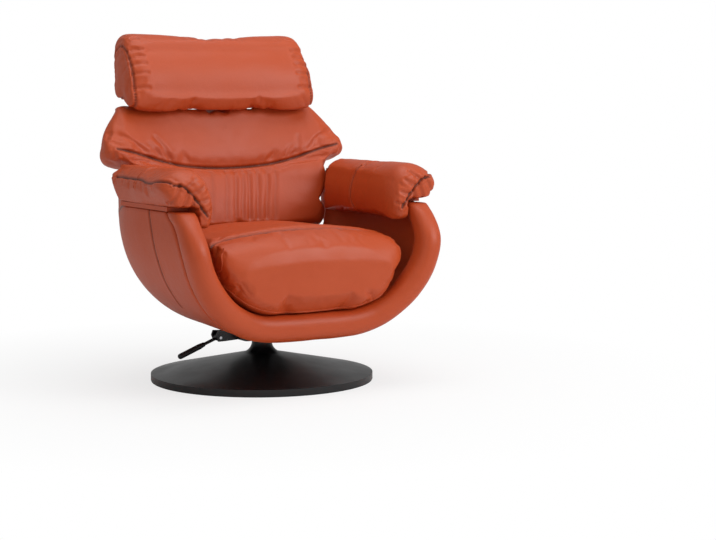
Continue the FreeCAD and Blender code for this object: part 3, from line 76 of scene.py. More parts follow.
class ReclinerSizes(bpy.types.PropertyGroup):
    """Sizes of the sewing and of the leather's relief."""

    seam_width: bpy.props.FloatProperty(
        name="Seam width", description="Half width of the valley along a sewn seam",
        default=3.6 * MM, unit="LENGTH")
    seam_depth: bpy.props.FloatProperty(
        name="Seam depth", description="How far a sewn seam pulls the leather in",
        default=4.2 * MM, unit="LENGTH")
    welt_radius: bpy.props.FloatProperty(
        name="Welt radius", description="Radius of the folded welt along the seat's edge",
        default=2.1 * MM, unit="LENGTH")
    voxel: bpy.props.FloatProperty(
        name="Cloth spacing", description="Distance between the points of a cushion's cloth",
        default=6.0 * MM, unit="LENGTH")
    pressure: bpy.props.FloatProperty(
        name="Filling pressure", description="How hard the filling pushes the leather out",
        default=4.0)
    grain: bpy.props.FloatProperty(
        name="Leather grain", description="Spacing of the pebbled grain",
        default=2.4 * MM, unit="LENGTH")


class ReclinerColours(bpy.types.PropertyGroup):
    """Main colours, as sRGB hex values."""

    leather: bpy.props.StringProperty(
        name="Leather", description="Cognac leather where it is even", default="#B54419")
    leather_worn: bpy.props.StringProperty(
        name="Leather, lighter", description="Cognac leather where it is rubbed", default="#C04E23")
    # Painted shade: this dark colour is mixed into the valleys of seams and creases, standing in for the
    # shade that falls there.
    seam_painted_shade: bpy.props.StringProperty(
        name="Seam shade", description="Painted shade in the valley of a sewn seam", default="#3E1509")
    painted_steel: bpy.props.StringProperty(
        name="Painted steel", description="Black satin powder coat", default="#0C0C0D")
    studio: bpy.props.StringProperty(
        name="Studio", description="Floor and backdrop", default="#F4F4F4")


def sizes():
    return bpy.context.scene.recliner_sizes


def colours():
    return bpy.context.scene.recliner_colours


# Materials

def linear(code):
    """An sRGB hex value as a linear colour with alpha."""
    values = [int(code.lstrip("#")[k:k + 2], 16) / 255 for k in (0, 2, 4)]
    bright = [v / 12.92 if v <= 0.04045 else ((v + 0.055) / 1.055) ** 2.4 for v in values]
    return (*bright, 1.0)


def add_node(material, kind, links=None, **settings):
    """Adds a node; a setting that is an input's name sets that input, any other sets the node itself."""
    node = material.node_tree.nodes.new(kind)
    for name, value in settings.items():
        if name in node.bl_rna.properties:
            setattr(node, name, value)
        else:
            node.inputs[name.replace("_", " ")].default_value = value
    for target, source in (links or {}).items():
        material.node_tree.links.new(source, node.inputs[target])
    return node


def new_material(name, base, roughness, metallic=0.0, **shader):
    """A material with its shader, its Object coordinates and the output, ready for patterns."""
    material = bpy.data.materials.new(name)
    material.use_nodes = True
    material.node_tree.nodes.clear()
    principled = add_node(material, "ShaderNodeBsdfPrincipled")
    principled.inputs["Base Color"].default_value = linear(base)
    principled.inputs["Roughness"].default_value = roughness
    principled.inputs["Metallic"].default_value = metallic
    for socket, value in shader.items():
        principled.inputs[socket.replace("_", " ")].default_value = value
    add_node(material, "ShaderNodeOutputMaterial", {"Surface": principled.outputs[0]})
    place = add_node(material, "ShaderNodeTexCoord").outputs["Object"]
    return material, principled, place


def mottle(material, principled, place, low_tone, high_tone, spacing, rough_low, rough_high):
    """Colour and roughness that drift between two values with patches of the given spacing."""
    patches = add_node(material, "ShaderNodeTexNoise", {"Vector": place}, Scale=1 / spacing, Detail=4.0)
    tint = add_node(material, "ShaderNodeMix", {"Factor": patches.outputs["Fac"]}, data_type="RGBA")
    tint.inputs[6].default_value = linear(low_tone)
    tint.inputs[7].default_value = linear(high_tone)
    material.node_tree.links.new(tint.outputs[2], principled.inputs["Base Color"])
    shine = add_node(material, "ShaderNodeMapRange", {"Value": patches.outputs["Fac"]})
    shine.inputs["From Min"].default_value = 0.3
    shine.inputs["From Max"].default_value = 0.7
    shine.inputs["To Min"].default_value = rough_low
    shine.inputs["To Max"].default_value = rough_high
    material.node_tree.links.new(shine.outputs[0], principled.inputs["Roughness"])
    return tint, patches


def relief(material, principled, heights):
    """Chains bumps of (height socket, strength, distance in metres) into the shader's normal."""
    normal = None
    for height, strength, distance in heights:
        links = {"Height": height}
        if normal is not None:
            links["Normal"] = normal
        bump = add_node(material, "ShaderNodeBump", links, Strength=strength, Distance=distance)
        normal = bump.outputs[0]
    material.node_tree.links.new(normal, principled.inputs["Normal"])


def leather():
    """Pigmented cowhide, drum dyed and embossed: an even satin face with a fine pebbled grain, a little
    lighter where it is stretched, with painted shade darkening the valleys of its seams and creases. The
    real grain is about 1 mm and is drawn at more than 2 mm, so that it shows."""
    name = "cognac pigmented leather, embossed"
    if name in bpy.data.materials:
        return bpy.data.materials[name]
    tones = colours()
    material, principled, place = new_material(
        name, tones.leather, 0.44, IOR=1.5, Specular_IOR_Level=0.38)
    tint, patches = mottle(material, principled, place, tones.leather, tones.leather_worn, 0.16,
                           0.40, 0.50)
    pebble = add_node(material, "ShaderNodeTexVoronoi", {"Vector": place}, feature="SMOOTH_F1",
                      Scale=1 / sizes().grain, Smoothness=0.6)
    pores = add_node(material, "ShaderNodeTexNoise", {"Vector": place}, Scale=1 / (1.1 * MM), Detail=3.0)
    folds = add_node(material, "ShaderNodeTexNoise", {"Vector": place}, Scale=1 / (22 * MM), Detail=5.0,
                     Roughness=0.62, Distortion=0.4)
    speckle = add_node(material, "ShaderNodeMapRange", {"Value": pebble.outputs["Distance"]})
    speckle.inputs["To Min"].default_value = 0.90
    speckle.inputs["To Max"].default_value = 1.05
    shade = add_node(material, "ShaderNodeMix", {"Factor": patches.outputs["Fac"]}, data_type="RGBA",
                     blend_type="MULTIPLY")
    material.node_tree.links.new(tint.outputs[2], shade.inputs[6])
    material.node_tree.links.new(speckle.outputs[0], shade.inputs[7])
    # Painted shade: the seam attribute mixes the seam shade colour into the valleys of seams and creases.
    seam = add_node(material, "ShaderNodeAttribute", attribute_name="seam")
    deep = add_node(material, "ShaderNodeMix", {"Factor": seam.outputs["Fac"]}, data_type="RGBA")
    material.node_tree.links.new(shade.outputs[2], deep.inputs[6])
    deep.inputs[7].default_value = linear(tones.seam_painted_shade)
    material.node_tree.links.new(deep.outputs[2], principled.inputs["Base Color"])
    relief(material, principled, [
        (folds.outputs["Fac"], 0.35, 2.0 * MM),
        (pebble.outputs["Distance"], 0.22, 0.5 * MM),
        (pores.outputs["Fac"], 0.12, 0.2 * MM),
    ])
    return material


def powder_coat(name, base, roughness=0.34):
    """Steel or iron under an electrostatic powder coat, baked: a satin black with a faint orange peel."""
    material, principled, place = new_material(name, base, roughness, IOR=1.5,
                                               Specular_IOR_Level=0.4, Coat_Weight=0.12, Coat_Roughness=0.2)
    peel = add_node(material, "ShaderNodeTexNoise", {"Vector": place}, Scale=1 / (2.2 * MM), Detail=2.0)
    wave = add_node(material, "ShaderNodeTexNoise", {"Vector": place}, Scale=1 / (60 * MM), Detail=2.0)
    mottle(material, principled, place, base, "#141416", 0.09, roughness - 0.05, roughness + 0.06)
    relief(material, principled, [
        (wave.outputs["Fac"], 0.12, 0.6 * MM),
        (peel.outputs["Fac"], 0.10, 0.12 * MM),
    ])
    return material


def turned_steel():
    """Bright drawn steel, turned and oiled: fine rings round the axis and a clear metal shine."""
    material, principled, place = new_material("bright turned steel", "#B9BBBE", 0.26, metallic=1.0)
    rings = add_node(material, "ShaderNodeTexNoise", {"Vector": place}, Scale=1 / (0.9 * MM), Detail=2.0)
    mottle(material, principled, place, "#A9ABAF", "#C6C8CB", 0.02, 0.2, 0.36)
    relief(material, principled, [(rings.outputs["Fac"], 0.08, 0.1 * MM)])
    return material


def moulded(name, base, roughness, lighter, grit=1.0 * MM, strength=0.15):
    """Injection-moulded plastic or rubber from a spark-eroded tool: an even matt face with a fine grit."""
    material, principled, place = new_material(name, base, roughness, IOR=1.46)
    grain = add_node(material, "ShaderNodeTexNoise", {"Vector": place}, Scale=1 / grit, Detail=2.0)
    mottle(material, principled, place, base, lighter, 0.03, roughness - 0.06, roughness + 0.08)
    relief(material, principled, [(grain.outputs["Fac"], strength, 0.15 * MM)])
    return material


def woven(name, base, lighter, pitch):
    """Woven polypropylene or bonded polyester cloth: a matt ground with a small over-and-under relief."""
    material, principled, place = new_material(name, base, 0.8, IOR=1.45, Sheen_Weight=0.2)
    weft = add_node(material, "ShaderNodeTexWave", {"Vector": place}, Scale=1 / (pitch * 6.3),
                    bands_direction="X", Distortion=0.3)
    warp = add_node(material, "ShaderNodeTexWave", {"Vector": place}, Scale=1 / (pitch * 6.3),
                    bands_direction="Y", Distortion=0.3)
    tint = add_node(material, "ShaderNodeMix", {"Factor": weft.outputs["Fac"]}, data_type="RGBA")
    tint.inputs[6].default_value = linear(base)
    tint.inputs[7].default_value = linear(lighter)
    material.node_tree.links.new(tint.outputs[2], principled.inputs["Base Color"])
    relief(material, principled, [
        (weft.outputs["Fac"], 0.3, 0.4 * MM),
        (warp.outputs["Fac"], 0.3, 0.4 * MM),
    ])
    return material


# Soft pieces

def settle(obj):
    """Applies an object's modifiers to its mesh."""
    shape = bpy.data.meshes.new_from_object(obj.evaluated_get(bpy.context.evaluated_depsgraph_get()))
    shape.name = obj.name
    obj.modifiers.clear()
    obj.data = shape


def soft_copy(node, name, spacing, fillers=()):
    """A merged copy of a solid's mesh, with filler boxes if any, as a new piece of evenly spaced points."""
    mesh = bmesh.new()
    mesh.from_mesh(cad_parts[node].data)
    bmesh.ops.remove_doubles(mesh, verts=mesh.verts, dist=0.05 * MM)
    for low, high in fillers:
        cube = bmesh.ops.create_cube(mesh, size=1)
        bmesh.ops.scale(mesh, vec=high - low, verts=cube["verts"])
        bmesh.ops.translate(mesh, vec=(low + high) / 2, verts=cube["verts"])
    data = bpy.data.meshes.new(name)
    mesh.to_mesh(data)
    mesh.free()
    data.materials.clear()
    obj = bpy.data.objects.new(name, data)
    bpy.context.scene.collection.objects.link(obj)
    remesh = obj.modifiers.new("even points", "REMESH")
    remesh.mode = "VOXEL"
    remesh.voxel_size = spacing
    settle(obj)
    return obj


def tree_of(obj):
    """A piece's surface, for finding points on it."""
    return BVHTree.FromObject(obj, bpy.context.evaluated_depsgraph_get())


def curve_through(points):
    """Evenly spaced points on the smooth curve through some control points."""
    ends = [2 * points[0] - points[1]] + points + [2 * points[-1] - points[-2]]
    path = []
    for a, b, c, d in zip(ends, ends[1:], ends[2:], ends[3:]):
        count = max(2, int((c - b).length / CURVE_STEP))
        for k in range(count):
            t = k / count
            path.append(0.5 * (2 * b + (c - a) * t + (2 * a - 5 * b + 4 * c - d) * t ** 2
                               + (3 * b - a - 3 * c + d) * t ** 3))
    return path + [points[-1]]


def on_surface(obj, points, toward):
    """The smooth curve through points in millimetres, laid on the piece by looking along a direction."""
    surface, look = tree_of(obj), Vector(toward).normalized()
    path = []
    for point in curve_through([Vector(p) * MM for p in points]):
        hit = surface.ray_cast(point - look * LOOK_DISTANCE, look)
        if hit[0] is not None:
            path.append(hit[0])
    return path


def press(obj, path, width, depth, dark=1.0, ridge=0.0):
    """Pulls the leather in along a path as a seam does; a ridge lifts both lips of it."""
    near = kdtree.KDTree(len(path))
    for k, point in enumerate(path):
        near.insert(point, k)
    near.balance()
    data = obj.data
    shade = data.attributes.get("seam") or data.attributes.new("seam", "FLOAT", "POINT")
    normals = [v.normal.copy() for v in data.vertices]
    for v, normal in zip(data.vertices, normals):
        distance = near.find(v.co)[2]
        if distance > SEAM_REACH * width:
            continue
        ratio = distance / width
        valley = math.exp(-ratio * ratio)
        lips = ridge * math.exp(-((ratio - LIP_PLACE) ** 2))
        v.co -= normal * (depth * valley - lips)
        # Painted shade: the seam attribute records how deep in a valley each point lies, so the leather is
        # darkened there.
        shade.data[v.index].value = max(shade.data[v.index].value, dark * valley)
    data.update()


def ripple(obj, spacing, height, seed):
    """The slight unevenness of leather over a soft filling."""
    shift = Vector((seed * 3.7, seed * 1.3, seed * 2.1))
    moves = [v.normal * (height * noise.noise(v.co / spacing + shift)) for v in obj.data.vertices]
    for v, move in zip(obj.data.vertices, moves):
        v.co += move
    obj.data.update()


def smooth(obj, times):
    """Evens out a piece's surface."""
    mesh = bmesh.new()
    mesh.from_mesh(obj.data)
    for _ in range(times):
        bmesh.ops.smooth_vert(mesh, verts=mesh.verts, factor=0.5,
                              use_axis_x=True, use_axis_y=True, use_axis_z=True)
    mesh.to_mesh(obj.data)
    mesh.free()
    obj.data.update()


def inflate(obj, held_paths, inset, cap, proud, grow=0.012, frames=20):
    """Fills a cushion: its cloth starts a little inside its solid, is held where it is sewn, is pushed out
    by the filling, and ends no further out than the solid's face plus the proud distance."""
    envelope = tree_of(obj)
    held = []
    sewn = kdtree.KDTree(sum(len(p) for p in held_paths) or 1)
    for k, point in enumerate([p for path in held_paths for p in path]):
        sewn.insert(point, k)
    sewn.balance()
    reach = sizes().voxel
    normals = [v.normal.copy() for v in obj.data.vertices]
    for v, normal in zip(obj.data.vertices, normals):
        close = held_paths and sewn.find(v.co)[2] < reach
        if close:
            held.append(v.index)
        v.co -= normal * inset * (1.6 if close else 1.0)
    obj.data.update()
    start = [v.co.copy() for v in obj.data.vertices]
    group = obj.vertex_groups.new(name="sewn")
    group.add(held, 1.0, "REPLACE")
    cloth = obj.modifiers.new("filling", "CLOTH")
    cloth.settings.vertex_group_mass = "sewn"
    cloth.settings.quality = 5
    cloth.settings.mass = 0.3
    cloth.settings.tension_stiffness = 15
    cloth.settings.compression_stiffness = 15
    cloth.settings.shear_stiffness = 5
    cloth.settings.bending_stiffness = 0.6
    cloth.settings.use_pressure = True
    cloth.settings.uniform_pressure_force = sizes().pressure
    cloth.settings.shrink_min = -grow
    cloth.settings.effector_weights.gravity = 0
    cloth.collision_settings.use_collision = False
    cloth.point_cache.frame_start = 1
    cloth.point_cache.frame_end = frames + 1
    for n in range(1, frames + 1):
        bpy.context.scene.frame_set(n)
    settle(obj)
    bpy.context.scene.frame_set(1)
    obj.vertex_groups.clear()
    for v, first in zip(obj.data.vertices, start):
        move = v.co - first
        if move.length > cap:
            v.co = first + move * (cap / move.length)
        near, normal, _, distance = envelope.find_nearest(v.co)
        out = (v.co - near).dot(normal)
        if out > proud:
            v.co = near + normal * proud
    obj.data.update()


def subdivide(obj):
    """Gives a piece one finer level of points."""
    finer = obj.modifiers.new("finer", "SUBSURF")
    finer.levels = 1
    finer.render_levels = 1
    settle(obj)


def welt(name, path, radius):
    """The folded strip of leather that stands along a sewn edge."""
    data = bpy.data.curves.new(name, "CURVE")
    data.dimensions = "3D"
    line = data.splines.new("POLY")
    line.points.add(len(path) - 1)
    for point, place in zip(line.points, path):
        point.co = (*place, 1.0)
    data.bevel_depth = radius
    data.bevel_resolution = 3
    data.use_fill_caps = True
    obj = bpy.data.objects.new(name, data)
    bpy.context.scene.collection.objects.link(obj)
    shape = bpy.data.meshes.new_from_object(obj.evaluated_get(bpy.context.evaluated_depsgraph_get()))
    bpy.data.objects.remove(obj)
    piece = bpy.data.objects.new(name, shape)
    bpy.context.scene.collection.objects.link(piece)
    return piece


def dress(obj, body, replaced=()):
    """Gives a leather piece its finish, its body and the solids that it stands for."""
    obj.data.materials.clear()
    obj.data.materials.append(leather())
    for face in obj.data.polygons:
        face.use_smooth = True
        face.material_index = 0
    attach(obj, body)
    if replaced:
        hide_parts(*replaced)
    return obj


def mirrored_copy(obj, name):
    """The same piece on the other side of the seat."""
    mesh = bmesh.new()
    mesh.from_mesh(obj.data)
    bmesh.ops.scale(mesh, vec=(-1, 1, 1), verts=mesh.verts)
    bmesh.ops.reverse_faces(mesh, faces=mesh.faces)
    data = bpy.data.meshes.new(name)
    mesh.to_mesh(data)
    mesh.free()
    copy = bpy.data.objects.new(name, data)
    bpy.context.scene.collection.objects.link(copy)
    return copy


def both(points):
    """Control points for x >= 0, mirrored to x < 0, from the far left to the far right."""
    right = [p for p in points if p[0] > 0]
    return [(-x, y, z) for x, y, z in reversed(right)] + list(points)


# Operators

class RECLINER_OT_metalwork(bpy.types.Operator):
    """Gives the pedestal, mechanism, lever, webbing and tub their finishes, and black frame steel to every
    other part
    """

    bl_idname = "recliner.metalwork"
    bl_label = "Pedestal and mechanism"

    def execute(self, context):
        black = powder_coat("black powder-coated steel", colours().painted_steel)
        iron = powder_coat("cast iron, primed and enamelled", "#1B1B1D", 0.5)
        dark_steel = powder_coat("frame steel, black enamel", "#141416", 0.42)
        steel = turned_steel()
        plastic = moulded("acetal bearing plastic, moulded", "#D8D6CF", 0.45, "#E2E0DA")
        rubber = moulded("black rubber, moulded", "#101011", 0.75, "#1A1A1B", 1.4 * MM, 0.25)
        grip = moulded("black nylon grip, moulded", "#121213", 0.42, "#1C1C1E")
        webbing = woven("elastic webbing, woven", "#2A2A2C", "#3A3A3D", 3 * MM)
        felt = moulded("wool felt, pressed", "#2C2C2E", 0.9, "#3B3B3D", 1.6 * MM, 0.5)
        finish_of = {
            "floor_pad": felt,
            "base_ballast": iron,
            "base_trumpet": black, "column_tube": black, "mechanism_housing": black,
            "lever_bracket": black, "tilt_bracket": black,
            "column_bolts": steel, "swivel_spindle": steel, "spindle_lock_nut": steel,
            "housing_bolts": steel, "tilt_axle": steel, "lever_pin": steel, "lever_rod": black,
            "lever_hub": black, "recline_pin_left": steel, "recline_pin_right": steel,
            "headrest_pins": steel, "thrust_washer": steel,
            "swivel_bush_lower": plastic, "swivel_bush_upper": plastic, "tilt_bushes": plastic,
            "recline_bushes": plastic, "clamp_discs": rubber, "stop_buffers": rubber,
            "lever_grip": grip,
            "tub_shell": leather(), "arm_board_left": leather(), "arm_board_right": leather(),
            "seat_webbing": webbing, "back_webbing": webbing,
        }
        for name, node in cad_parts.items():
            node.data.materials.clear()
            node.data.materials.append(finish_of.get(name, dark_steel))
        return {"FINISHED"}


class RECLINER_OT_seat(bpy.types.Operator):
    """Builds the seat cushion with its front apron, its top seam and its welted edges"""

    bl_idname = "recliner.seat"
    bl_label = "Seat cushion"

    def execute(self, context):
        size = sizes()
        cushion = soft_copy("seat_cushion", "seat_cushion_leather", size.voxel)
        front = both([(0, -224, 460), (60, -224, 460), (130, -222, 460), (190, -220, 460), (248, -220, 460),
                      (274, -226, 460)])
        top_seam = on_surface(cushion, front, (0, 0, -1))
        inflate(cushion, [top_seam], 5 * MM, 24 * MM, 1.0 * MM)
        subdivide(cushion)
        smooth(cushion, 2)
        ripple(cushion, 0.07, 1.6 * MM, 1)
        ripple(cushion, 0.028, 0.5 * MM, 2)
        top_seam = on_surface(cushion, front, (0, 0, -1))
        press(cushion, top_seam, 1.5 * size.seam_width, 1.2 * size.seam_depth, 1.0, 1.6 * MM)
        dress(cushion, "tub", ["seat_cushion"])
        edge = [(262, -240, 396), (276, -262, 370), (273, -285, 325), (258, -297, 295), (232, -302, 268),
                (200, -303, 246), (150, -303, 228), (80, -303, 219), (0, -303, 217)]
        for side, name in ((1, "left"), (-1, "right")):
            points = [(side * (x - 3), y, z + 4) for x, y, z in edge]
            line = on_surface(cushion, points, (0, 1, 0))
            if len(line) > 8:
                dress(welt("seat_welt_" + name, line, size.welt_radius), "tub")
        return {"FINISHED"}


class RECLINER_OT_back(bpy.types.Operator):
    """Builds the winged back cushion with its curved seam and the creases below it"""

    bl_idname = "recliner.back"
    bl_label = "Back cushion"

    def execute(self, context):
        size = sizes()
        cushion = soft_copy("back_cushion", "back_cushion_leather", 6.6 * MM)
        sweep = both([(0, 0, 582), (70, 0, 584), (140, 0, 591), (200, 0, 603), (255, 0, 619), (305, 0, 634),
                      (352, 0, 645)])
        look = (0, 1, 0)
        seam = on_surface(cushion, sweep, look)
        inflate(cushion, [seam], 4 * MM, 26 * MM, 1.5 * MM, 0.018)
        self.fill_waist(cushion)
        subdivide(cushion)
        smooth(cushion, 2)
        ripple(cushion, 0.085, 2.0 * MM, 4)
        ripple(cushion, 0.03, 0.5 * MM, 5)
        seam = on_surface(cushion, sweep, look)
        press(cushion, seam, size.seam_width, size.seam_depth, 0.9, 1.0 * MM)
        for k, (top, foot, depth) in enumerate([
                (-14, -34, 1.0), (16, -4, 1.5), (40, 18, 1.2), (58, 40, 2.0), (86, 66, 1.5), (116, 94, 1.7),
                (142, 122, 1.0), (-60, -80, 0.7)]):
            fall = [(top, 0, 572), (top - 6, 0, 530), (foot + 4, 0, 480), (foot, 0, 440)]
            crease = on_surface(cushion, fall, look)
            press(cushion, crease, 6 * MM, depth * MM, 0.10, depth * 0.35 * MM)
        for x, z, end_x, end_z, depth in ((-226, 672, -184, 606, 2.2), (-250, 655, -212, 612, 1.2),
                                          (235, 668, 205, 612, 0.9)):
            middle = ((x + end_x) / 2 + 6, 0, (z + end_z) / 2)
            crease = on_surface(cushion, [(x, 0, z), middle, (end_x, 0, end_z)], look)
            press(cushion, crease, 7 * MM, depth * MM, 0.08, depth * 0.4 * MM)
        dress(cushion, "back", ["back_cushion"])
        return {"FINISHED"}

    @staticmethod
    def fill_waist(cushion):
        """Rounds the cushion out behind the arm pads and under the headrest, where it would leave a gap."""
        for v in cushion.data.vertices:
            side = min(max((abs(v.co.x) - 0.22) / 0.07, 0), 1)
            above = min(max((v.co.z - 0.44) / 0.06, 0), 1)
            height = above * min(max((0.645 - v.co.z) / 0.05, 0), 1)
            v.co.x += math.copysign(21 * MM * side * height, v.co.x)
            top = min(max((v.co.z - 0.69) / 0.07, 0), 1)
            v.co.z += (9 + 15 * max(1 - (v.co.x / 0.24) ** 2, 0)) * MM * top * top
        cushion.data.update()


class RECLINER_OT_headrest(bpy.types.Operator):
    """Builds the headrest roll with its gathered ends"""

    bl_idname = "recliner.headrest"
    bl_label = "Headrest"

    def execute(self, context):
        size = sizes()
        roll = soft_copy("headrest_cushion", "headrest_leather", 5.4 * MM, self.slot_fillers())
        low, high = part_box("headrest_cushion")
        ends = []
        for side in (-1, 1):
            ends.append(self.end_loop(roll, side, low, high))
        inflate(roll, ends, 3 * MM, 20 * MM, 2.0 * MM, 0.01)
        self.hang_front(roll)
        subdivide(roll)
        smooth(roll, 2)
        ripple(roll, 0.08, 1.8 * MM, 7)
        for side in (-1, 1):
            loop = self.end_loop(roll, side, low, high)
            press(roll, loop, size.seam_width, 0.8 * size.seam_depth, 0.6, 1.0 * MM)
            tree = tree_of(roll)
            for k in range(0, len(loop), max(1, len(loop) // 13)):
                start = loop[k]
                crease = []
                for j in range(22):
                    point = start - Vector((side * 2 * MM * j, 0, 0))
                    crease.append(tree.find_nearest(point)[0])
                press(roll, crease, 5 * MM, 2.2 * MM, 0.08, 0.8 * MM)
        dress(roll, "headrest", ["headrest_cushion"])
        return {"FINISHED"}

    @staticmethod
    def slot_fillers():
        """Boxes that close the front of the roll's two hinge slots, as (lowest corner, highest corner)."""
        low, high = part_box("headrest_cushion")
        boxes = []
        for side in (-1, 1):
            middle = side * HEADREST_ARM
            boxes.append((Vector((middle - 18 * MM, low.y + 14 * MM, low.z + 3 * MM)),
                          Vector((middle + 18 * MM, 213 * MM, low.z + 60 * MM))))
        return boxes

    @staticmethod
    def hang_front(roll):
        """Lets the front of the roll hang over the back's top edge, lowest in the middle."""
        for v in roll.data.vertices:
            front = min(max((0.235 - v.co.y) / 0.03, 0), 1)
            lower = min(max((0.86 - v.co.z) / 0.09, 0), 1)
            v.co.z -= (38 - 32 * (v.co.x / 0.3) ** 2) * MM * front * lower * lower
        roll.data.update()

    @staticmethod
    def end_loop(roll, side, low, high):
        """The sewn ring round one end, found by looking inwards all round the roll."""
        tree = tree_of(roll)
        middle = (low + high) / 2
        across = high.x - 0.016
        loop = []
        for k in range(120):
            angle = 2 * math.pi * k / 120
            out = Vector((0, math.cos(angle), math.sin(angle)))
            start = Vector((side * across, middle.y, middle.z)) + out * 0.3
            hit = tree.ray_cast(start, -out)
            if hit[0] is not None:
                loop.append(hit[0])
        return loop


class RECLINER_OT_arm_pads(bpy.types.Operator):
    """Builds the two arm pads with their top seam, cross seam and pleated fronts"""

    bl_idname = "recliner.arm_pads"
    bl_label = "Arm pads"

    def execute(self, context):
        size = sizes()
        pad = soft_copy("arm_pad_left", "arm_pad_left_leather", 5.0 * MM)
        rear = [(386, 110, 640), (392, 40, 640), (401, -63, 640), (413, -150, 640), (412, -215, 640),
                (396, -245, 640)]
        outer = on_surface(pad, rear, (0, 0, -1))
        front = [(392, 0, 566), (370, 0, 563), (342, 0, 540), (322, 0, 515), (300, 0, 484)]
        gather = on_surface(pad, front, (0, 1, 0))
        inflate(pad, [outer, gather], 3 * MM, 14 * MM, 0.8 * MM, 0.012)
        subdivide(pad)
        smooth(pad, 2)
        ripple(pad, 0.05, 1.5 * MM, 11)
        outer = on_surface(pad, rear, (0, 0, -1))
        press(pad, outer, size.seam_width, size.seam_depth, 0.9, 1.2 * MM)
        gather = on_surface(pad, front, (0, 1, 0))
        press(pad, gather, size.seam_width, size.seam_depth, 0.9, 1.4 * MM)
        over = [(420, -46, 640), (370, -52, 640), (318, -50, 640), (290, -42, 640)]
        cross = on_surface(pad, over, (0, 0, -1))
        down = [(0, -42, 590), (0, -36, 560), (0, -35, 525), (0, -40, 490), (0, -56, 470)]
        side = on_surface(pad, down, (1, 0, 0))
        for line in (cross, side):
            press(pad, line, 2.8 * MM, 2.6 * MM, 0.45, 1.4 * MM)
        pleats = [((376, 566), (400, 520)), ((352, 552), (372, 500)), ((334, 532), (350, 486)),
                  ((314, 508), (326, 478)), ((360, 560), (330, 582)), ((340, 545), (310, 560)),
                  ((326, 522), (298, 528)), ((306, 494), (286, 498))]
        for (x, z), (end_x, end_z) in pleats:
            middle = ((x + end_x) / 2, 0, (z + end_z) / 2 - 2)
            crease = on_surface(pad, [(x, 0, z), middle, (end_x, 0, end_z)], (0, 1, 0))
            if len(crease) > 3:
                press(pad, crease, 5 * MM, 2.8 * MM, 0.15, 1.2 * MM)
        other = mirrored_copy(pad, "arm_pad_right_leather")
        dress(pad, "tub", ["arm_pad_left"])
        dress(other, "tub", ["arm_pad_right"])
        return {"FINISHED"}


class RECLINER_OT_covers(bpy.types.Operator):
    """Builds the leather covers of the tub's sides, front edge, underside and the back's rear"""

    bl_idname = "recliner.covers"
    bl_label = "Tub and rear covers"

    def execute(self, context):
        size = sizes()
        side = soft_copy("side_cover_left", "side_cover_left_leather", 4.4 * MM)
        smooth(side, 2)
        ripple(side, 0.09, 1.0 * MM, 21)
        upright = [(0, -95, 505), (0, -103, 471), (0, -119, 419), (0, -127, 359), (0, -125, 313),
                   (0, -119, 269), (0, -104, 232)]
        press(side, on_surface(side, upright, (-1, 0, 0)), size.seam_width, 2.6 * MM, 0.85, 0.8 * MM)
        level = [(0, -95, 503), (0, -40, 501), (0, 60, 500), (0, 170, 470)]
        press(side, on_surface(side, level, (-1, 0, 0)), size.seam_width, 2.6 * MM, 0.85, 0.8 * MM)
        other = mirrored_copy(side, "side_cover_right_leather")
        dress(side, "tub", ["side_cover_left"])
        dress(other, "tub", ["side_cover_right"])
        roll = soft_copy("front_rim_roll", "front_rim_leather", 4.4 * MM)
        smooth(roll, 3)
        ripple(roll, 0.07, 1.4 * MM, 25)
        dress(roll, "tub", ["front_rim_roll"])
        under = soft_copy("under_cover", "under_cover_leather", 5 * MM)
        smooth(under, 2)
        ripple(under, 0.09, 1.0 * MM, 27)
        dress(under, "tub", ["under_cover"])
        rear = soft_copy("back_rear_cover", "back_rear_leather", 5 * MM)
        smooth(rear, 2)
        ripple(rear, 0.09, 1.2 * MM, 29)
        for x in (-150, 150):
            line = on_surface(rear, [(x, 0, 740), (x, 0, 620), (x * 0.94, 0, 500)], (0, -1, 0))
            if len(line) > 4:
                press(rear, line, size.seam_width, 2.4 * MM, 0.85, 0.8 * MM)
        dress(rear, "back", ["back_rear_cover"])
        return {"FINISHED"}


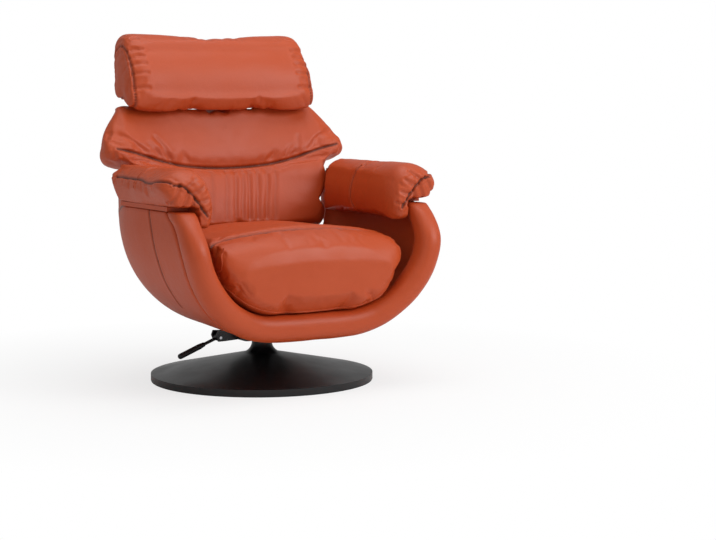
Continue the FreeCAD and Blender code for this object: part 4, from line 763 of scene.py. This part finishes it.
class RECLINER_OT_stage(bpy.types.Operator):
    """Sets the white floor, the soft studio lights and the camera at the photograph's angle"""

    bl_idname = "recliner.stage"
    bl_label = "Studio"

    def execute(self, context):
        scene = context.scene
        mesh = bmesh.new()
        bmesh.ops.create_grid(mesh, x_segments=1, y_segments=1, size=30)
        data = bpy.data.meshes.new("studio_floor")
        mesh.to_mesh(data)
        mesh.free()
        floor = bpy.data.objects.new("studio_floor", data)
        scene.collection.objects.link(floor)
        floor.data.materials.append(self.floor_paper())
        self.world(scene)
        middle = Vector((0, 0, 0.5))
        for name, place, width, power in LAMPS:
            lamp = bpy.data.lights.new(name, "AREA")
            lamp.size = width
            lamp.energy = power
            holder = bpy.data.objects.new(name, lamp)
            scene.collection.objects.link(holder)
            holder.location = place
            holder.rotation_euler = (middle - Vector(place)).to_track_quat("-Z", "Y").to_euler()
        camera = bpy.data.cameras.new("photo_camera")
        camera.sensor_width = 36
        camera.lens = CAMERA_LENS
        camera.clip_end = 200
        holder = bpy.data.objects.new("photo_camera", camera)
        scene.collection.objects.link(holder)
        holder.location = CAMERA_PLACE
        holder.rotation_euler = Vector(CAMERA_LOOK).to_track_quat("-Z", "Y").to_euler()
        scene.camera = holder
        scene.view_settings.view_transform = "Standard"
        return {"FINISHED"}

    @staticmethod
    def floor_paper():
        """Seamless paper, rolled: matt and white, and paler still to the camera, so only shadows show."""
        material, principled, place = new_material("white seamless paper", colours().studio, 0.9)
        glow = add_node(material, "ShaderNodeEmission", Color=linear("#FFFFFF"), Strength=1.0)
        seen = add_node(material, "ShaderNodeLightPath").outputs["Is Camera Ray"]
        away = add_node(material, "ShaderNodeVectorMath", {0: place}, operation="LENGTH")
        share = add_node(material, "ShaderNodeMapRange", {"Value": away.outputs["Value"]})
        share.inputs["From Min"].default_value = 0.35
        share.inputs["From Max"].default_value = 1.3
        share.inputs["To Min"].default_value = 0.72
        share.inputs["To Max"].default_value = 1.0
        part = add_node(material, "ShaderNodeMath", {0: seen, 1: share.outputs[0]}, operation="MULTIPLY")
        mix = add_node(material, "ShaderNodeMixShader", {0: part.outputs[0]})
        links = material.node_tree.links
        links.new(principled.outputs[0], mix.inputs[1])
        links.new(glow.outputs[0], mix.inputs[2])
        output = next(n for n in material.node_tree.nodes if n.type == "OUTPUT_MATERIAL")
        links.new(mix.outputs[0], output.inputs["Surface"])
        return material

    @staticmethod
    def world(scene):
        """Even white surroundings at a plain level, and pure white to the camera."""
        world = bpy.data.worlds.new("studio")
        scene.world = world
        world.use_nodes = True
        tree = world.node_tree
        tree.nodes.clear()
        level = tree.nodes.new("ShaderNodeBackground")
        level.inputs["Color"].default_value = linear("#FFFFFF")
        level.inputs["Strength"].default_value = SURROUND_LEVEL
        white = tree.nodes.new("ShaderNodeBackground")
        white.inputs["Color"].default_value = linear("#FFFFFF")
        white.inputs["Strength"].default_value = 1.0
        path = tree.nodes.new("ShaderNodeLightPath")
        mix = tree.nodes.new("ShaderNodeMixShader")
        output = tree.nodes.new("ShaderNodeOutputWorld")
        tree.links.new(path.outputs["Is Camera Ray"], mix.inputs[0])
        tree.links.new(level.outputs[0], mix.inputs[1])
        tree.links.new(white.outputs[0], mix.inputs[2])
        tree.links.new(mix.outputs[0], output.inputs["Surface"])


STEPS = (
    RECLINER_OT_metalwork,
    RECLINER_OT_seat,
    RECLINER_OT_back,
    RECLINER_OT_headrest,
    RECLINER_OT_arm_pads,
    RECLINER_OT_covers,
    RECLINER_OT_stage,
)


class RECLINER_PT_panel(bpy.types.Panel):
    """Lists the recliner's pieces in the sidebar"""

    bl_label = "Swivel recliner"
    bl_idname = "RECLINER_PT_panel"
    bl_space_type = "VIEW_3D"
    bl_region_type = "UI"
    bl_category = "Recliner"

    def draw(self, context):
        for group in (context.scene.recliner_sizes, context.scene.recliner_colours):
            box = self.layout.box()
            for name in group.__annotations__:
                box.prop(group, name)
        for step in STEPS:
            self.layout.operator(step.bl_idname)


CLASSES = (ReclinerSizes, ReclinerColours) + STEPS + (RECLINER_PT_panel,)


def register():
    for each in CLASSES:
        bpy.utils.register_class(each)
    bpy.types.Scene.recliner_sizes = bpy.props.PointerProperty(type=ReclinerSizes)
    bpy.types.Scene.recliner_colours = bpy.props.PointerProperty(type=ReclinerColours)


def unregister():
    del bpy.types.Scene.recliner_colours
    del bpy.types.Scene.recliner_sizes
    for each in reversed(CLASSES):
        bpy.utils.unregister_class(each)


def main():
    register()
    bpy.ops.recliner.metalwork()
    bpy.ops.recliner.seat()
    bpy.ops.recliner.back()
    bpy.ops.recliner.headrest()
    bpy.ops.recliner.arm_pads()
    bpy.ops.recliner.covers()
    bpy.ops.recliner.stage()


if __name__ == "__main__":
    main()
